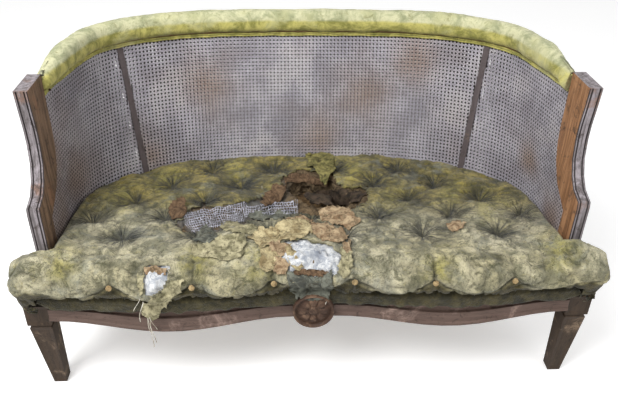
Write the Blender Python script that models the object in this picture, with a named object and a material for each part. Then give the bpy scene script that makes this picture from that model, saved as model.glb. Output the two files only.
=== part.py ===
"""Cane-back barrel settee with a torn, tufted velvet seat, in metres, +Z up.

The frame is the wood that the settee stands on: two front legs and two back legs, a waved front rail
with a carved medallion, curved seat rails, two cut-out arm posts, two mullions, the cane rails and
the crest rail. Two layers of cane close the back. The seat is built up as an upholsterer does it:
webbing, hessian, felt, cotton and the tufted cover, which is torn open in three places.
"""

import functools
import math

import bmesh
import bpy
from mathutils import Vector
from mathutils.geometry import delaunay_2d_cdt

GAP = 0.0003

# Legs and seat frame
LEG_X = 0.709
LEG_Y = -0.339
FOOT_TOE_IN = 0.008
FOOT_X = LEG_X - FOOT_TOE_IN
FOOT_Y = LEG_Y + FOOT_TOE_IN
LEG_BLOCK = 0.062
LEG_FOOT = 0.035
LEG_SHOULDER = 0.057
LEG_NECK = 0.050
LEG_NECK_Z = 0.221
LEG_BLOCK_Z = 0.229
PANEL_BORDER = 0.010
PANEL_DEPTH = 0.0025
RAIL_TOP = 0.292
RAIL_BOTTOM = 0.225
BACK_LEG_BLOCK = 0.046
BACK_LEG_FOOT = 0.034
BACK_LEG_RAKE = 0.035
CORNER_BLOCK_SIDE = 0.09
CORNER_BLOCK_HEIGHT = 0.05

# Front rail: a waved apron, lowest and furthest forward at its two lobes
FRONT_RAIL_Y = -0.375
FRONT_RAIL_THICK = 0.030
LOBE_FORWARD = 0.020
LOBE_DROP = 0.026
APRON_BOTTOM = 0.2495
APRON_LEDGE = 0.285
LEDGE_DROP = 0.019
LEDGE_STEP = 0.008
BEAD = 0.004

# Medallion on the middle of the front rail
MEDALLION_RADIUS = 0.053
MEDALLION_Z = 0.281
MEDALLION_THICK = 0.020
MEDALLION_RIM = 0.007
MEDALLION_PETALS = 8
MEDALLION_ROOM = 0.010

# Barrel back: the inner cane's plan is a superellipse that leans back and outward
CANE_SETBACK = 0.004
PLAN_CENTRE_Y = -0.125
BACK_DEPTH = 0.4605
BACK_LEAN = 0.1475
PLAN_POWER = 3.087
PLAN_POWER_SLOPE = 1.27
ARM_TUCK = 0.016
CREST_BOTTOM = 0.765
CREST_RAIL_HEIGHT = 0.025
CREST_TOP = CREST_BOTTOM + CREST_RAIL_HEIGHT
CANE_RAIL_BOTTOM = 0.315
CANE_RAIL_TOP = 0.345
FRAME_INNER = -0.002
FRAME_OUTER = 0.028
MULLION_SHARE = 0.595
MULLION_LEAN = 0.025
MULLION_WIDTH = 0.018
CANE_THICK = 0.0025
CANE_RIDGE = 0.0012
CANE_GAPS_UP = 4

# Arm posts: a plank that sweeps forward to a knee
POST_SET_IN = 0.016
POST_INNER_X = LEG_X - LEG_BLOCK / 2 - POST_SET_IN
POST_THICK = 0.033
POST_ABOVE_CREST = 0.056
POST_TOP = CREST_BOTTOM + POST_ABOVE_CREST
POST_FLARE = 0.010
POST_FRONT_Y = -0.224
POST_REAR_Y = -0.124
KNEE_FRONT_Y = -0.315
FOOT_FRONT_Y = -0.318
FOOT_REAR_Y = -0.250
FRONT_COVE_TOP = 0.680
FRONT_COVE_END = 0.552
REAR_COVE_TOP = 0.670
REAR_COVE_END = 0.500
GROOVE_DEPTH = 0.0028
GROOVE_WIDTH = 0.004
GROOVE_INSET = 0.0095

# Crest pad and its welts
PAD_OVERHANG_IN = 0.021
PAD_OVERHANG_OUT = 0.008
PAD_RISE = 0.056
PAD_TOP = CREST_TOP + PAD_RISE
WELT_HEIGHT = 0.0115
WELT_THICK = 0.0045

# Seat: nose outline, heights and the tuft lattice
EAR_OVERHANG = 0.026
SEAT_HALF_WIDTH = LEG_X + LEG_BLOCK / 2 + EAR_OVERHANG
NOSE_STATIONS = 13
EAR_LIFT = 0.034
NOSE_Y = -0.424
NOSE_LOBE = 0.012
NOSE_INSET = 0.034
EAR_RADIUS = 0.060
WALL_CLEARANCE = CANE_SETBACK + 0.0005
SEAT_FRONT_TOP = 0.434
SEAT_BACK_TOP = 0.388
SEAT_NOSE_Z = 0.362
FELT_THICK = 0.0265
HESSIAN_THICK = 0.0012
COVER_THICK = 0.003
TUFT_PITCH_X = 0.20
TUFT_PITCH_Y = 0.105
TUFT_BACK_Y = 0.175
TUFT_ROWS = 5
TUFT_DEPTH = 0.034
FOLD_DEPTH = 0.013
PLEAT_DEPTH = 0.010
EDGE_PLEAT = 0.007
BUTTON_RADIUS = 0.008
BUTTON_Z = 0.388
BUTTON_COLUMNS = (-0.5, -0.3, -0.1, 0.1, 0.3, 0.5)

# Webbing under the seat
WEB_WIDTH = 0.050
WEB_THICK = 0.0012
WEBS_DEEP = 7
WEBS_ACROSS = 3
WEB_PITCH_X = 0.15
WEB_PITCH_Y = 0.14
WEB_BEARING = 0.018

# Levels that follow from the layers' thicknesses, from the rails up
WEB_RISE = WEB_THICK / 2 + GAP
WEB_LEVEL = RAIL_TOP + GAP + WEB_THICK / 2 + WEB_RISE
WEB_TOP = WEB_LEVEL + WEB_RISE + WEB_THICK / 2
HESSIAN_BOTTOM = WEB_TOP + GAP
FELT_BOTTOM = HESSIAN_BOTTOM + HESSIAN_THICK + GAP
COTTON_BOTTOM = FELT_BOTTOM + FELT_THICK + GAP

# Outlines of the tears, in plan, as the velvet has parted
MAIN_TEAR = (
    (-0.350, -0.175), (-0.310, -0.085), (-0.200, -0.060), (-0.135, -0.012), (-0.070, -0.020),
    (-0.075, 0.100), (0.000, 0.135), (0.088, 0.118), (0.095, 0.035), (0.170, -0.015),
    (0.115, -0.085), (0.000, -0.085), (-0.040, -0.128), (-0.165, -0.168), (-0.260, -0.212),
)
HOLLOW = (
    (-0.060, 0.080), (0.000, 0.110), (0.075, 0.095), (0.085, 0.030), (0.140, -0.018),
    (0.100, -0.070), (0.010, -0.070), (-0.045, -0.010),
)
COTTON_TEAR = (
    (-0.05, NOSE_Y + NOSE_INSET), (-0.078, -0.320), (-0.030, -0.275), (0.047, -0.282), (0.068, -0.340),
    (0.05, NOSE_Y + NOSE_INSET), (0.0, NOSE_Y + NOSE_INSET),
)
SCRAP = (
    (-0.335, -0.180), (-0.295, -0.105), (-0.190, -0.085), (-0.110, -0.050), (-0.060, -0.070),
    (-0.070, -0.115), (-0.170, -0.148), (-0.255, -0.190),
)
TEARS = (MAIN_TEAR, HOLLOW, COTTON_TEAR, SCRAP)
SKIRT_TEARS = ((-0.40, -0.35, (0, 1)), (-0.05, 0.05, (0,)))

WOOD = (0.19, 0.13, 0.09)
COLOURS = {
    "wood": (WOOD, 0.72),
    "leg_wood": ((0.07, 0.05, 0.04), 0.65),
    "hidden_wood": ((0.36, 0.27, 0.17), 0.8),
    "cane": ((0.46, 0.43, 0.42), 0.75),
    "velvet": ((0.42, 0.42, 0.22), 0.95),
    "crest_velvet": ((0.62, 0.62, 0.36), 0.95),
    "cotton": ((0.80, 0.80, 0.78), 1.0),
    "felt": ((0.30, 0.21, 0.13), 1.0),
    "hessian": ((0.40, 0.40, 0.38), 1.0),
    "jute": ((0.48, 0.38, 0.24), 1.0),
    "button": ((0.58, 0.46, 0.28), 0.9),
}


def clear_scene():
    for old in list(bpy.data.objects):
        bpy.data.objects.remove(old, do_unlink=True)


@functools.lru_cache(maxsize=None)
def material(key):
    """One Principled material for each kind of stuff."""
    colour, roughness = COLOURS[key]
    made = bpy.data.materials.new(key)
    made.use_nodes = True
    shader = made.node_tree.nodes["Principled BSDF"]
    shader.inputs["Base Color"].default_value = (*colour, 1.0)
    shader.inputs["Roughness"].default_value = roughness
    shader.inputs["Metallic"].default_value = 0.0
    return made


def add_object(name, bm, kind, root, smooth_angle=35):
    """Turn a closed bmesh into a named object under the root empty."""
    bmesh.ops.recalc_face_normals(bm, faces=bm.faces)
    mesh = bpy.data.meshes.new(name)
    bm.to_mesh(mesh)
    bm.free()
    mesh.materials.append(material(kind))
    mesh.shade_smooth()
    mesh.set_sharp_from_angle(angle=math.radians(smooth_angle))
    made = bpy.data.objects.new(name, mesh)
    bpy.context.scene.collection.objects.link(made)
    made.parent = root
    return made


def loft(rings):
    """Closed solid through rings of equal length, with a flat cap on each end."""
    bm = bmesh.new()
    rows = [[bm.verts.new(point) for point in ring] for ring in rings]
    count = len(rows[0])
    for near, far in zip(rows, rows[1:]):
        for i in range(count):
            j = (i + 1) % count
            bm.faces.new((near[i], near[j], far[j], far[i]))
    bm.faces.new(rows[0])
    bm.faces.new(rows[-1])
    return bm


def prism(outline, low, high):
    """Solid with a flat outline in plan, between two heights."""
    return loft([[(x, y, z) for x, y in outline] for z in (low, high)])


def ease(share):
    share = min(1.0, max(0.0, share))
    return share * share * (3 - 2 * share)


def lobe(x):
    """How far the front rail's wave has come at x: 0 at the medallion and the legs, 1 at a lobe."""
    span = LEG_X - LEG_BLOCK / 2 - MEDALLION_RADIUS
    share = (abs(x) - MEDALLION_RADIUS) / span
    return math.sin(math.pi * min(1.0, max(0.0, share))) ** 2


def quarter(start, end, share):
    """Coordinate along a quarter ellipse that leaves start gently and reaches end steeply."""
    return start + (end - start) * (1 - math.sqrt(max(0.0, 1 - share * share)))


def post_front(share):
    """Front edge of the post's sweep, from the cove's start at 0 to the knee at 1."""
    z = FRONT_COVE_TOP + (FRONT_COVE_END - FRONT_COVE_TOP) * share
    return quarter(POST_FRONT_Y, KNEE_FRONT_Y, share), z


def post_rear_y(z):
    """The post's rear edge at a height, where the cane begins."""
    share = (REAR_COVE_TOP - z) / (REAR_COVE_TOP - REAR_COVE_END)
    return quarter(POST_REAR_Y, FOOT_REAR_Y, min(1.0, max(0.0, share)))


def cane_rows():
    """Heights of the edges of the cane's gaps, which the posts' rear edges follow."""
    return spread(CANE_RAIL_TOP + GAP, CREST_BOTTOM - GAP, 2 * CANE_GAPS_UP + 1)


@functools.lru_cache(maxsize=None)
def half_plan(z):
    """The inner cane's plan at a height, from the middle of the back to the side, with its run."""
    depth = BACK_DEPTH + BACK_LEAN * (z - CREST_BOTTOM)
    power = PLAN_POWER + PLAN_POWER_SLOPE * (z - CREST_BOTTOM)
    tuck = ARM_TUCK * ease((z - SEAT_BACK_TOP) / (CREST_BOTTOM - SEAT_BACK_TOP))
    samples = 96
    points = []
    for i in range(samples + 1):
        angle = math.pi / 2 * i / samples
        reach = max(0.0, math.cos(angle)) ** (2 / power)
        x = (POST_INNER_X + CANE_SETBACK) * math.sin(angle) ** (2 / power)
        x -= tuck * math.sin(math.pi * min(1.0, reach / 0.75)) ** 2
        points.append(Vector((x, PLAN_CENTRE_Y + depth * reach)))
    runs = [0.0]
    for a, b in zip(points, points[1:]):
        runs.append(runs[-1] + (b - a).length)
    return points, runs


def arc_length(z):
    return half_plan(z)[1][-1]


def plan_point(run, z, out=0.0):
    """Point at a signed run from the middle of the back, moved outward across the wall."""
    side = -1 if run < 0 else 1
    run = abs(run)
    points, runs = half_plan(z)
    if run >= runs[-1]:
        base = points[-1] + Vector((0, runs[-1] - run))
        normal = Vector((1, 0))
    else:
        i = max(k for k in range(len(runs) - 1) if runs[k] <= run)
        share = (run - runs[i]) / (runs[i + 1] - runs[i])
        base = points[i].lerp(points[i + 1], share)
        before = points[max(i - 1, 0)]
        if i == 0:
            before = Vector((-points[1].x, points[1].y))
        after = points[min(i + 2, len(points) - 1)]
        tangent = (points[i + 1] - before).lerp(after - points[i], share).normalized()
        normal = Vector((-tangent.y, tangent.x))
    spot = base + normal * out
    return Vector((side * spot.x, spot.y, z))


def run_to_y(y, z):
    """Run at which the straight end of the plan has come forward to y."""
    return arc_length(z) + PLAN_CENTRE_Y - y


def mullion_run(z):
    return (MULLION_SHARE + MULLION_LEAN * (z - CREST_BOTTOM)) * arc_length(z)


def spread(start, end, count):
    return [start + (end - start) * i / count for i in range(count + 1)]


def curved_bar(runs, section, plan_z):
    """Bar that follows the barrel plan: section is a ring of (out, z)."""
    rings = []
    for run in runs:
        rings.append([plan_point(run, plan_z, out).xy.to_3d() + Vector((0, 0, z)) for out, z in section])
    return loft(rings)


def box_section(inner, outer, low, high):
    return [(inner, low), (outer, low), (outer, high), (inner, high)]


def recess_panels(bm, faces):
    """Sink a bordered panel into each face."""
    bmesh.ops.inset_individual(bm, faces=faces, thickness=PANEL_BORDER, use_even_offset=True)
    for face in faces:
        for vert in face.verts:
            vert.co -= face.normal * PANEL_DEPTH


def add_front_leg(side, root):
    """Square tapered leg with a necked block above it and sunk panels on its show faces."""
    def ring(z, size):
        h = size / 2
        up = min(1.0, z / LEG_NECK_Z)
        x = FOOT_X + (LEG_X - FOOT_X) * up
        y = FOOT_Y + (LEG_Y - FOOT_Y) * up
        return [(side * x + a * h, y + b * h, z) for a, b in ((-1, -1), (1, -1), (1, 1), (-1, 1))]

    foot_bevel = 0.004
    rings = [
        ring(0, LEG_FOOT - foot_bevel), ring(foot_bevel / 2, LEG_FOOT),
        ring(LEG_NECK_Z - 0.003, LEG_SHOULDER), ring(LEG_NECK_Z, LEG_NECK),
        ring(LEG_BLOCK_Z - 0.003, LEG_NECK), ring(LEG_BLOCK_Z, LEG_BLOCK), ring(RAIL_TOP, LEG_BLOCK),
    ]
    bm = loft(rings)
    bmesh.ops.recalc_face_normals(bm, faces=bm.faces)
    bm.normal_update()
    shown = []
    for face in bm.faces:
        tall = max(v.co.z for v in face.verts) - min(v.co.z for v in face.verts) > 0.05
        if tall and (face.normal.y < -0.9 or face.normal.x * side > 0.9):
            shown.append(face)
    recess_panels(bm, shown)
    name = "front_leg_right" if side > 0 else "front_leg_left"
    add_object(name, bm, "leg_wood", root)


def back_leg_spot(side):
    """Middle of the back leg's block: on the seat rails' line, under the mullion."""
    middle = (FRAME_INNER + FRAME_OUTER) / 2
    return plan_point(side * mullion_run(RAIL_TOP), RAIL_TOP, middle)


def add_back_leg(side, root):
    """Plain square leg, raked back, turned to face along the curved rails."""
    spot = back_leg_spot(side)
    inward = plan_point(side * mullion_run(RAIL_TOP), RAIL_TOP, 0) - spot
    across = Vector((-inward.y, inward.x, 0)).normalized()
    inward.normalize()

    def ring(z, size, shift):
        h = size / 2
        centre = Vector((spot.x, spot.y, z)) - inward * shift
        return [centre + across * a * h + inward * b * h for a, b in ((-1, -1), (1, -1), (1, 1), (-1, 1))]

    rings = [
        ring(0, BACK_LEG_FOOT, BACK_LEG_RAKE), ring(RAIL_BOTTOM - 0.01, BACK_LEG_BLOCK, 0),
        ring(RAIL_TOP, BACK_LEG_BLOCK, 0),
    ]
    name = "back_leg_right" if side > 0 else "back_leg_left"
    add_object(name, loft(rings), "leg_wood", root)


def add_seat_rails(root):
    """Side rails from the front leg blocks to the back legs, and the curved rail between those."""
    section = box_section(FRAME_INNER, FRAME_OUTER, RAIL_BOTTOM, RAIL_TOP)
    clear = BACK_LEG_BLOCK / 2 + GAP
    joint = mullion_run(RAIL_TOP)
    front = run_to_y(LEG_Y + LEG_BLOCK / 2 + GAP, RAIL_TOP)
    for side, name in ((-1, "side_rail_left"), (1, "side_rail_right")):
        runs = [side * run for run in spread(joint + clear, front, 8)]
        add_object(name, curved_bar(runs, section, RAIL_TOP), "hidden_wood", root)
    runs = spread(-joint + clear, joint - clear, 12)
    add_object("back_rail", curved_bar(runs, section, RAIL_TOP), "hidden_wood", root)


def apron(x):
    """Front face, bottom edge and velvet ledge of the front rail at x."""
    wave = lobe(x)
    front = FRONT_RAIL_Y - LOBE_FORWARD * wave
    return front, APRON_BOTTOM - LOBE_DROP * wave, APRON_LEDGE - LEDGE_DROP * wave


def add_front_rail(root):
    """Waved rail with a bead along its lower edge and a step where the velvet is tacked."""
    end = LEG_X - LEG_BLOCK / 2 - GAP
    rings = []
    for x in spread(-end, end, 28):
        front, low, ledge = apron(x)
        back = front + FRONT_RAIL_THICK
        rings.append([
            (x, back, low), (x, front, low), (x, front - BEAD, low + 0.4 * BEAD),
            (x, front - BEAD, low + 2 * BEAD), (x, front, low + 3 * BEAD),
            (x, front, ledge), (x, front + LEDGE_STEP, ledge), (x, front + LEDGE_STEP, RAIL_TOP),
            (x, back, RAIL_TOP),
        ])
    add_object("front_rail", loft(rings), "wood", root)


def add_medallion(root):
    """Round carved boss: a raised rim round a rosette with lobed petals."""
    segments = MEDALLION_PETALS * 2
    back = apron(0)[0] - BEAD - GAP
    face = back - MEDALLION_THICK
    inner = MEDALLION_RADIUS - MEDALLION_RIM

    def ring(radius, y, petal=0.0):
        points = []
        for i in range(segments):
            angle = 2 * math.pi * i / segments
            swell = petal * abs(math.cos(MEDALLION_PETALS * angle / 2))
            spot = (radius * math.cos(angle), y - swell, MEDALLION_Z + radius * math.sin(angle))
            points.append(spot)
        return points

    rings = [
        ring(MEDALLION_RADIUS, back), ring(MEDALLION_RADIUS, face + 0.003),
        ring(MEDALLION_RADIUS - 0.002, face), ring(inner, face), ring(inner - 0.002, face + 0.006),
        ring(inner * 0.62, face + 0.006, 0.007), ring(inner * 0.26, face + 0.005),
        ring(inner * 0.2, face + 0.001), ring(inner * 0.08, face - 0.001),
    ]
    add_object("medallion", loft(rings), "leg_wood", root, smooth_angle=50)


def add_corner_block(side, root):
    """Glued block that braces the front rail against a side rail, under the webbing."""
    x = POST_INNER_X - 0.0005
    y = FRONT_RAIL_Y + FRONT_RAIL_THICK + GAP
    corner = [
        (side * x, y), (side * (x - CORNER_BLOCK_SIDE), y), (side * x, y + CORNER_BLOCK_SIDE),
    ]
    top = RAIL_TOP - 0.012
    name = "corner_block_right" if side > 0 else "corner_block_left"
    add_object(name, prism(corner, top - CORNER_BLOCK_HEIGHT, top), "hidden_wood", root)


def add_arm_post(side, root):
    """Plank cut to a sweep, with two grooves down its front edge, standing on the side rail."""
    half = POST_THICK / 2
    centre = side * (POST_INNER_X + half)
    g = GROOVE_INSET
    w = GROOVE_WIDTH / 2
    edge = 0.002
    front_section = [
        (-half, edge), (-half + edge, 0), (-g - w, 0), (-g, GROOVE_DEPTH), (-g + w, 0),
        (g - w, 0), (g, GROOVE_DEPTH), (g + w, 0), (half - edge, 0), (half, edge),
    ]
    foot = RAIL_TOP + GAP
    rows = cane_rows()[::-1]
    rears = [(post_rear_y(z), z) for z in (POST_TOP, *rows, foot)]
    fronts = [(POST_FRONT_Y - POST_FLARE, POST_TOP), (POST_FRONT_Y - POST_FLARE / 2, rows[0])]
    fronts.append((POST_FRONT_Y, rows[1]))
    fronts += [post_front(share) for share in (0, 0.4, 0.7, 0.9, 1)]
    below = FRONT_COVE_END - 0.015
    fronts += [(FOOT_FRONT_Y, z) for z in spread(below, foot, len(rears) - len(fronts) - 1)]
    rings = []
    for front, rear in zip(fronts, rears):
        a = Vector((0, *front))
        b = Vector((0, *rear))
        depth = (b - a).length
        ring = [a.lerp(b, v / depth) + Vector((centre + u, 0, 0)) for u, v in front_section]
        ring += [b + Vector((centre + half, 0, 0)), b + Vector((centre - half, 0, 0))]
        rings.append(ring)
    name = "arm_post_right" if side > 0 else "arm_post_left"
    add_object(name, loft(rings), "wood", root)


def add_mullion(side, root):
    """Upright between two cane panels, from the back leg's block to the crest rail."""
    rings = []
    for z in spread(RAIL_TOP + GAP, CREST_BOTTOM - GAP, 6):
        middle = side * mullion_run(z)
        half = MULLION_WIDTH / 2
        corners = ((-half, FRAME_INNER), (half, FRAME_INNER), (half, FRAME_OUTER), (-half, FRAME_OUTER))
        rings.append([plan_point(middle + along, z, out) for along, out in corners])
    name = "mullion_right" if side > 0 else "mullion_left"
    add_object(name, loft(rings), "wood", root)


def wall_spans(z):
    """Runs of the three panels at a height, clear of the mullions and the posts."""
    joint = mullion_run(z)
    clear = MULLION_WIDTH / 2 + GAP
    end = run_to_y(post_rear_y(z) + GAP, z)
    return {
        "left": (-end, -joint - clear),
        "centre": (-joint + clear, joint - clear),
        "right": (joint + clear, end),
    }


def add_cane_rails(root):
    """Rail under each cane panel, between the posts and mullions."""
    for name, count in (("left", 7), ("centre", 12), ("right", 7)):
        rings = []
        low = wall_spans(CANE_RAIL_BOTTOM)[name]
        high = wall_spans(CANE_RAIL_TOP)[name]
        for share in spread(0, 1, count):
            run_low = low[0] + (low[1] - low[0]) * share
            run_high = high[0] + (high[1] - high[0]) * share
            rings.append([
                plan_point(run_low, CANE_RAIL_BOTTOM, FRAME_INNER),
                plan_point(run_low, CANE_RAIL_BOTTOM, FRAME_OUTER),
                plan_point(run_high, CANE_RAIL_TOP, FRAME_OUTER),
                plan_point(run_high, CANE_RAIL_TOP, FRAME_INNER),
            ])
        add_object("cane_rail_" + name, loft(rings), "hidden_wood", root)


def crest_spans():
    """Runs of the crest's three lengths, which the rails, the pad and its welts all follow."""
    joint = mullion_run(CREST_BOTTOM)
    end = run_to_y(POST_REAR_Y + GAP, CREST_BOTTOM)
    return {
        "left": spread(-end, -joint, 7),
        "centre": spread(-joint, joint, 14),
        "right": spread(joint, end, 7),
    }


def crest_runs():
    return sorted({run for runs in crest_spans().values() for run in runs})


def add_crest_rails(root):
    """Top rail, sawn in three lengths that meet over the mullions."""
    section = box_section(FRAME_INNER, FRAME_OUTER, CREST_BOTTOM, CREST_TOP)
    half = GAP / 2
    for name, runs in crest_spans().items():
        if name != "left":
            runs[0] += half
        if name != "right":
            runs[-1] -= half
        add_object("crest_rail_" + name, curved_bar(runs, section, CREST_BOTTOM), "wood", root)


def woven_panel(name, gaps_across, out, direction):
    """Cane panel: a thin wall of crossing ridges with an open gap between each four."""
    heights = cane_rows()
    columns = 2 * gaps_across + 1
    rows = len(heights) - 1
    bm = bmesh.new()
    faces = {}
    for layer in (0, 1):
        for j, z in enumerate(heights):
            start, stop = wall_spans(z)[name]
            for i in range(columns + 1):
                run = start + (stop - start) * i / columns
                ridge = CANE_RIDGE * ((i // 2 + j // 2 + layer) % 2)
                depth = out + direction * (ridge if layer == 0 else CANE_THICK + ridge)
                faces[layer, i, j] = bm.verts.new(plan_point(run, z, depth))
    solid = {(i, j) for i in range(columns) for j in range(rows) if not (i % 2 and j % 2)}
    for i, j in solid:
        corners = ((i, j), (i + 1, j), (i + 1, j + 1), (i, j + 1))
        for layer in (0, 1):
            bm.faces.new([faces[(layer, *corner)] for corner in corners])
        neighbours = ((i, j - 1), (i + 1, j), (i, j + 1), (i - 1, j))
        for k, beside in enumerate(neighbours):
            if beside not in solid:
                a = corners[k]
                b = corners[(k + 1) % 4]
                bm.faces.new((faces[(0, *a)], faces[(0, *b)], faces[(1, *b)], faces[(1, *a)]))
    return bm


def add_cane(root):
    """Inner and outer layers of cane in each of the three panels."""
    for name, inner_gaps, outer_gaps in (("left", 4, 2), ("centre", 12, 6), ("right", 4, 2)):
        inner = woven_panel(name, inner_gaps, 0.0, 1)
        add_object("cane_inner_" + name, inner, "cane", root)
        outer = woven_panel(name, outer_gaps, FRAME_OUTER + FRAME_INNER, -1)
        add_object("cane_outer_" + name, outer, "cane", root)


def add_crest_pad(root):
    """Padded roll over the crest rail, sagging where it has come loose at its right end."""
    low = CREST_BOTTOM + WELT_HEIGHT + GAP
    top = CREST_TOP + GAP
    inner = FRAME_INNER - GAP
    outer = FRAME_OUTER + GAP
    bulge_in = FRAME_INNER - PAD_OVERHANG_IN
    bulge_out = FRAME_OUTER + PAD_OVERHANG_OUT
    middle = (bulge_in + bulge_out) / 2
    shoulder = PAD_TOP - 0.011
    section = [
        (inner, low), (bulge_in + 0.004, low + 0.006), (bulge_in, low + 0.024),
        (bulge_in + 0.012, shoulder), (middle, PAD_TOP), (bulge_out - 0.012, shoulder),
        (bulge_out, low + 0.024), (bulge_out - 0.004, low + 0.006), (outer, low), (outer, top), (inner, top),
    ]
    bar = curved_bar(crest_runs(), section, CREST_BOTTOM)
    add_object("crest_pad", bar, "crest_velvet", root, smooth_angle=60)


def add_crest_welts(root):
    """Double welt along the lower edge of the pad, inside and outside."""
    low = CREST_BOTTOM + GAP
    high = CREST_BOTTOM + WELT_HEIGHT
    middle = (low + high) / 2
    for name, face, way in (("inner", FRAME_INNER - GAP, -1), ("outer", FRAME_OUTER + GAP, 1)):
        crown = face + way * WELT_THICK
        section = [(face, low), (crown, low + 0.0025), (face + way * 0.002, middle),
                   (crown, high - 0.0025), (face, high)]
        bar = curved_bar(crest_runs(), section, CREST_BOTTOM)
        add_object("crest_welt_" + name, bar, "crest_velvet", root)


class Station:
    """One place on the seat's outline: a free edge bulges, a walled edge stands against the frame."""

    def __init__(self, spot, normal, run=None, free=True):
        self.spot = Vector(spot)
        self.normal = Vector(normal)
        self.run = run
        self.free = free

    def at(self, z, out):
        if self.run is not None:
            return plan_point(self.run, z, out - WALL_CLEARANCE)
        return (self.spot + self.normal * out).to_3d() + Vector((0, 0, z))


def half_outline():
    """Right half of the seat's outline, from the middle of the front to the middle of the back."""
    stations = []
    straight = SEAT_HALF_WIDTH - EAR_RADIUS - 0.056
    for x in spread(0, straight, NOSE_STATIONS):
        stations.append(Station((x, NOSE_Y - NOSE_LOBE * lobe(x)), (0, -1)))
    centre = (SEAT_HALF_WIDTH - EAR_RADIUS, NOSE_Y + EAR_RADIUS)
    for degrees in (-90, -60, -30, 0):
        normal = Vector((math.cos(math.radians(degrees)), math.sin(math.radians(degrees))))
        stations.append(Station(Vector(centre) + normal * EAR_RADIUS, normal))
    back_of_ear = FOOT_FRONT_Y - 0.0008
    inner = POST_INNER_X - 0.0005
    stations.append(Station((SEAT_HALF_WIDTH - 0.012, back_of_ear), (1, 0)))
    for x, y in ((0.685, back_of_ear), (inner, back_of_ear), (inner, -0.290)):
        stations.append(Station((x, y), (0, 0), free=False))
    last = run_to_y(FOOT_REAR_Y, SEAT_BACK_TOP)
    for run in spread(last, 0, 15):
        stations.append(Station((0, 0), (0, 0), run=run, free=False))
    return stations


def seat_outline():
    """The whole outline, once round, with the left half mirrored from the right."""
    right = half_outline()
    left = []
    for station in reversed(right[1:-1]):
        spot = (-station.spot.x, station.spot.y)
        normal = (-station.normal.x, station.normal.y)
        run = None if station.run is None else -station.run
        left.append(Station(spot, normal, run, station.free))
    return right + left


def ear_lift(x, y):
    """How far the seat swells up round the feet of the arm posts."""
    return EAR_LIFT * ease((abs(x) - 0.58) / 0.12) * ease((-0.18 - y) / 0.10)


def seat_crown(x, y):
    """Height of the pillows' crowns: the seat is lower at the back."""
    share = ease((y + 0.36) / 0.62)
    return SEAT_FRONT_TOP + (SEAT_BACK_TOP - SEAT_FRONT_TOP) * share + ear_lift(x, y)


def pleat(x):
    """Depth of the straight pleats that run from the outer tufts to the edge, 0 to 1."""
    return 1 - math.sqrt(abs(math.cos(math.pi * x / TUFT_PITCH_X)))


def tuft_depth(x, y):
    """How far the cover is pulled down from its crowns: folds between tufts, pits at them."""
    front_row = TUFT_BACK_Y - (TUFT_ROWS - 1) * TUFT_PITCH_Y
    across = x / (TUFT_PITCH_X / 2)
    up = (min(max(y, front_row), TUFT_BACK_Y) - TUFT_BACK_Y) / TUFT_PITCH_Y
    p = abs(math.cos(math.pi * (across + up) / 2))
    q = abs(math.cos(math.pi * (across - up) / 2))
    depth = FOLD_DEPTH * (1 - math.sqrt(p * q)) + (TUFT_DEPTH - FOLD_DEPTH) * (1 - max(p, q))
    beyond = max(front_row - y, y - TUFT_BACK_Y, 0.0)
    fade = ease(beyond / 0.06)
    return depth * (1 - fade) + PLEAT_DEPTH * pleat(x) * fade


def inside(point, polygon):
    """Whether a plan point lies within a polygon."""
    x, y = point
    hit = False
    for (ax, ay), (bx, by) in zip(polygon, polygon[1:] + polygon[:1]):
        if (ay > y) != (by > y) and x < ax + (bx - ax) * (y - ay) / (by - ay):
            hit = not hit
    return hit


def edge_profile(station):
    """Rings of the seat's edge, from its top down to the cover's hem."""
    if not station.free:
        spot = station.at(SEAT_BACK_TOP, 0)
        top = seat_crown(spot.x, spot.y) - ear_lift(spot.x, spot.y) - 0.006
        return [(top, -0.010), (top - 0.010, -0.001), (0.350, 0.0), (COTTON_BOTTOM, 0.0), (WEB_TOP + GAP, 0.0)]
    x = station.spot.x
    folded = EDGE_PLEAT * pleat(x) * ease((SEAT_HALF_WIDTH - 0.106 - abs(x)) / 0.1)
    over_rail = abs(x) < LEG_X - LEG_BLOCK / 2
    if over_rail:
        front, _, ledge = apron(x)
        hem = (ledge + GAP, station.spot.y - front - LEDGE_STEP + COVER_THICK + 2 * GAP)
    else:
        hem = (RAIL_TOP + GAP, LEG_X + LEG_BLOCK / 2 - SEAT_HALF_WIDTH)
    if abs(x) < MEDALLION_RADIUS + MEDALLION_ROOM:
        behind = station.spot.y - apron(0)[0] + BEAD - GAP
        above = MEDALLION_Z + MEDALLION_RADIUS + 0.0025
        return [(0.416, -NOSE_INSET), (0.395, -0.003), (above, behind), (COTTON_BOTTOM, behind), hem]
    lift = ear_lift(x, station.spot.y)
    return [
        (0.416 - folded + lift, -NOSE_INSET), (0.400 - folded + 0.8 * lift, -0.009 - folded),
        (SEAT_NOSE_Z + 0.4 * lift, -folded), (COTTON_BOTTOM, -0.018 - folded / 2), hem,
    ]


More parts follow.
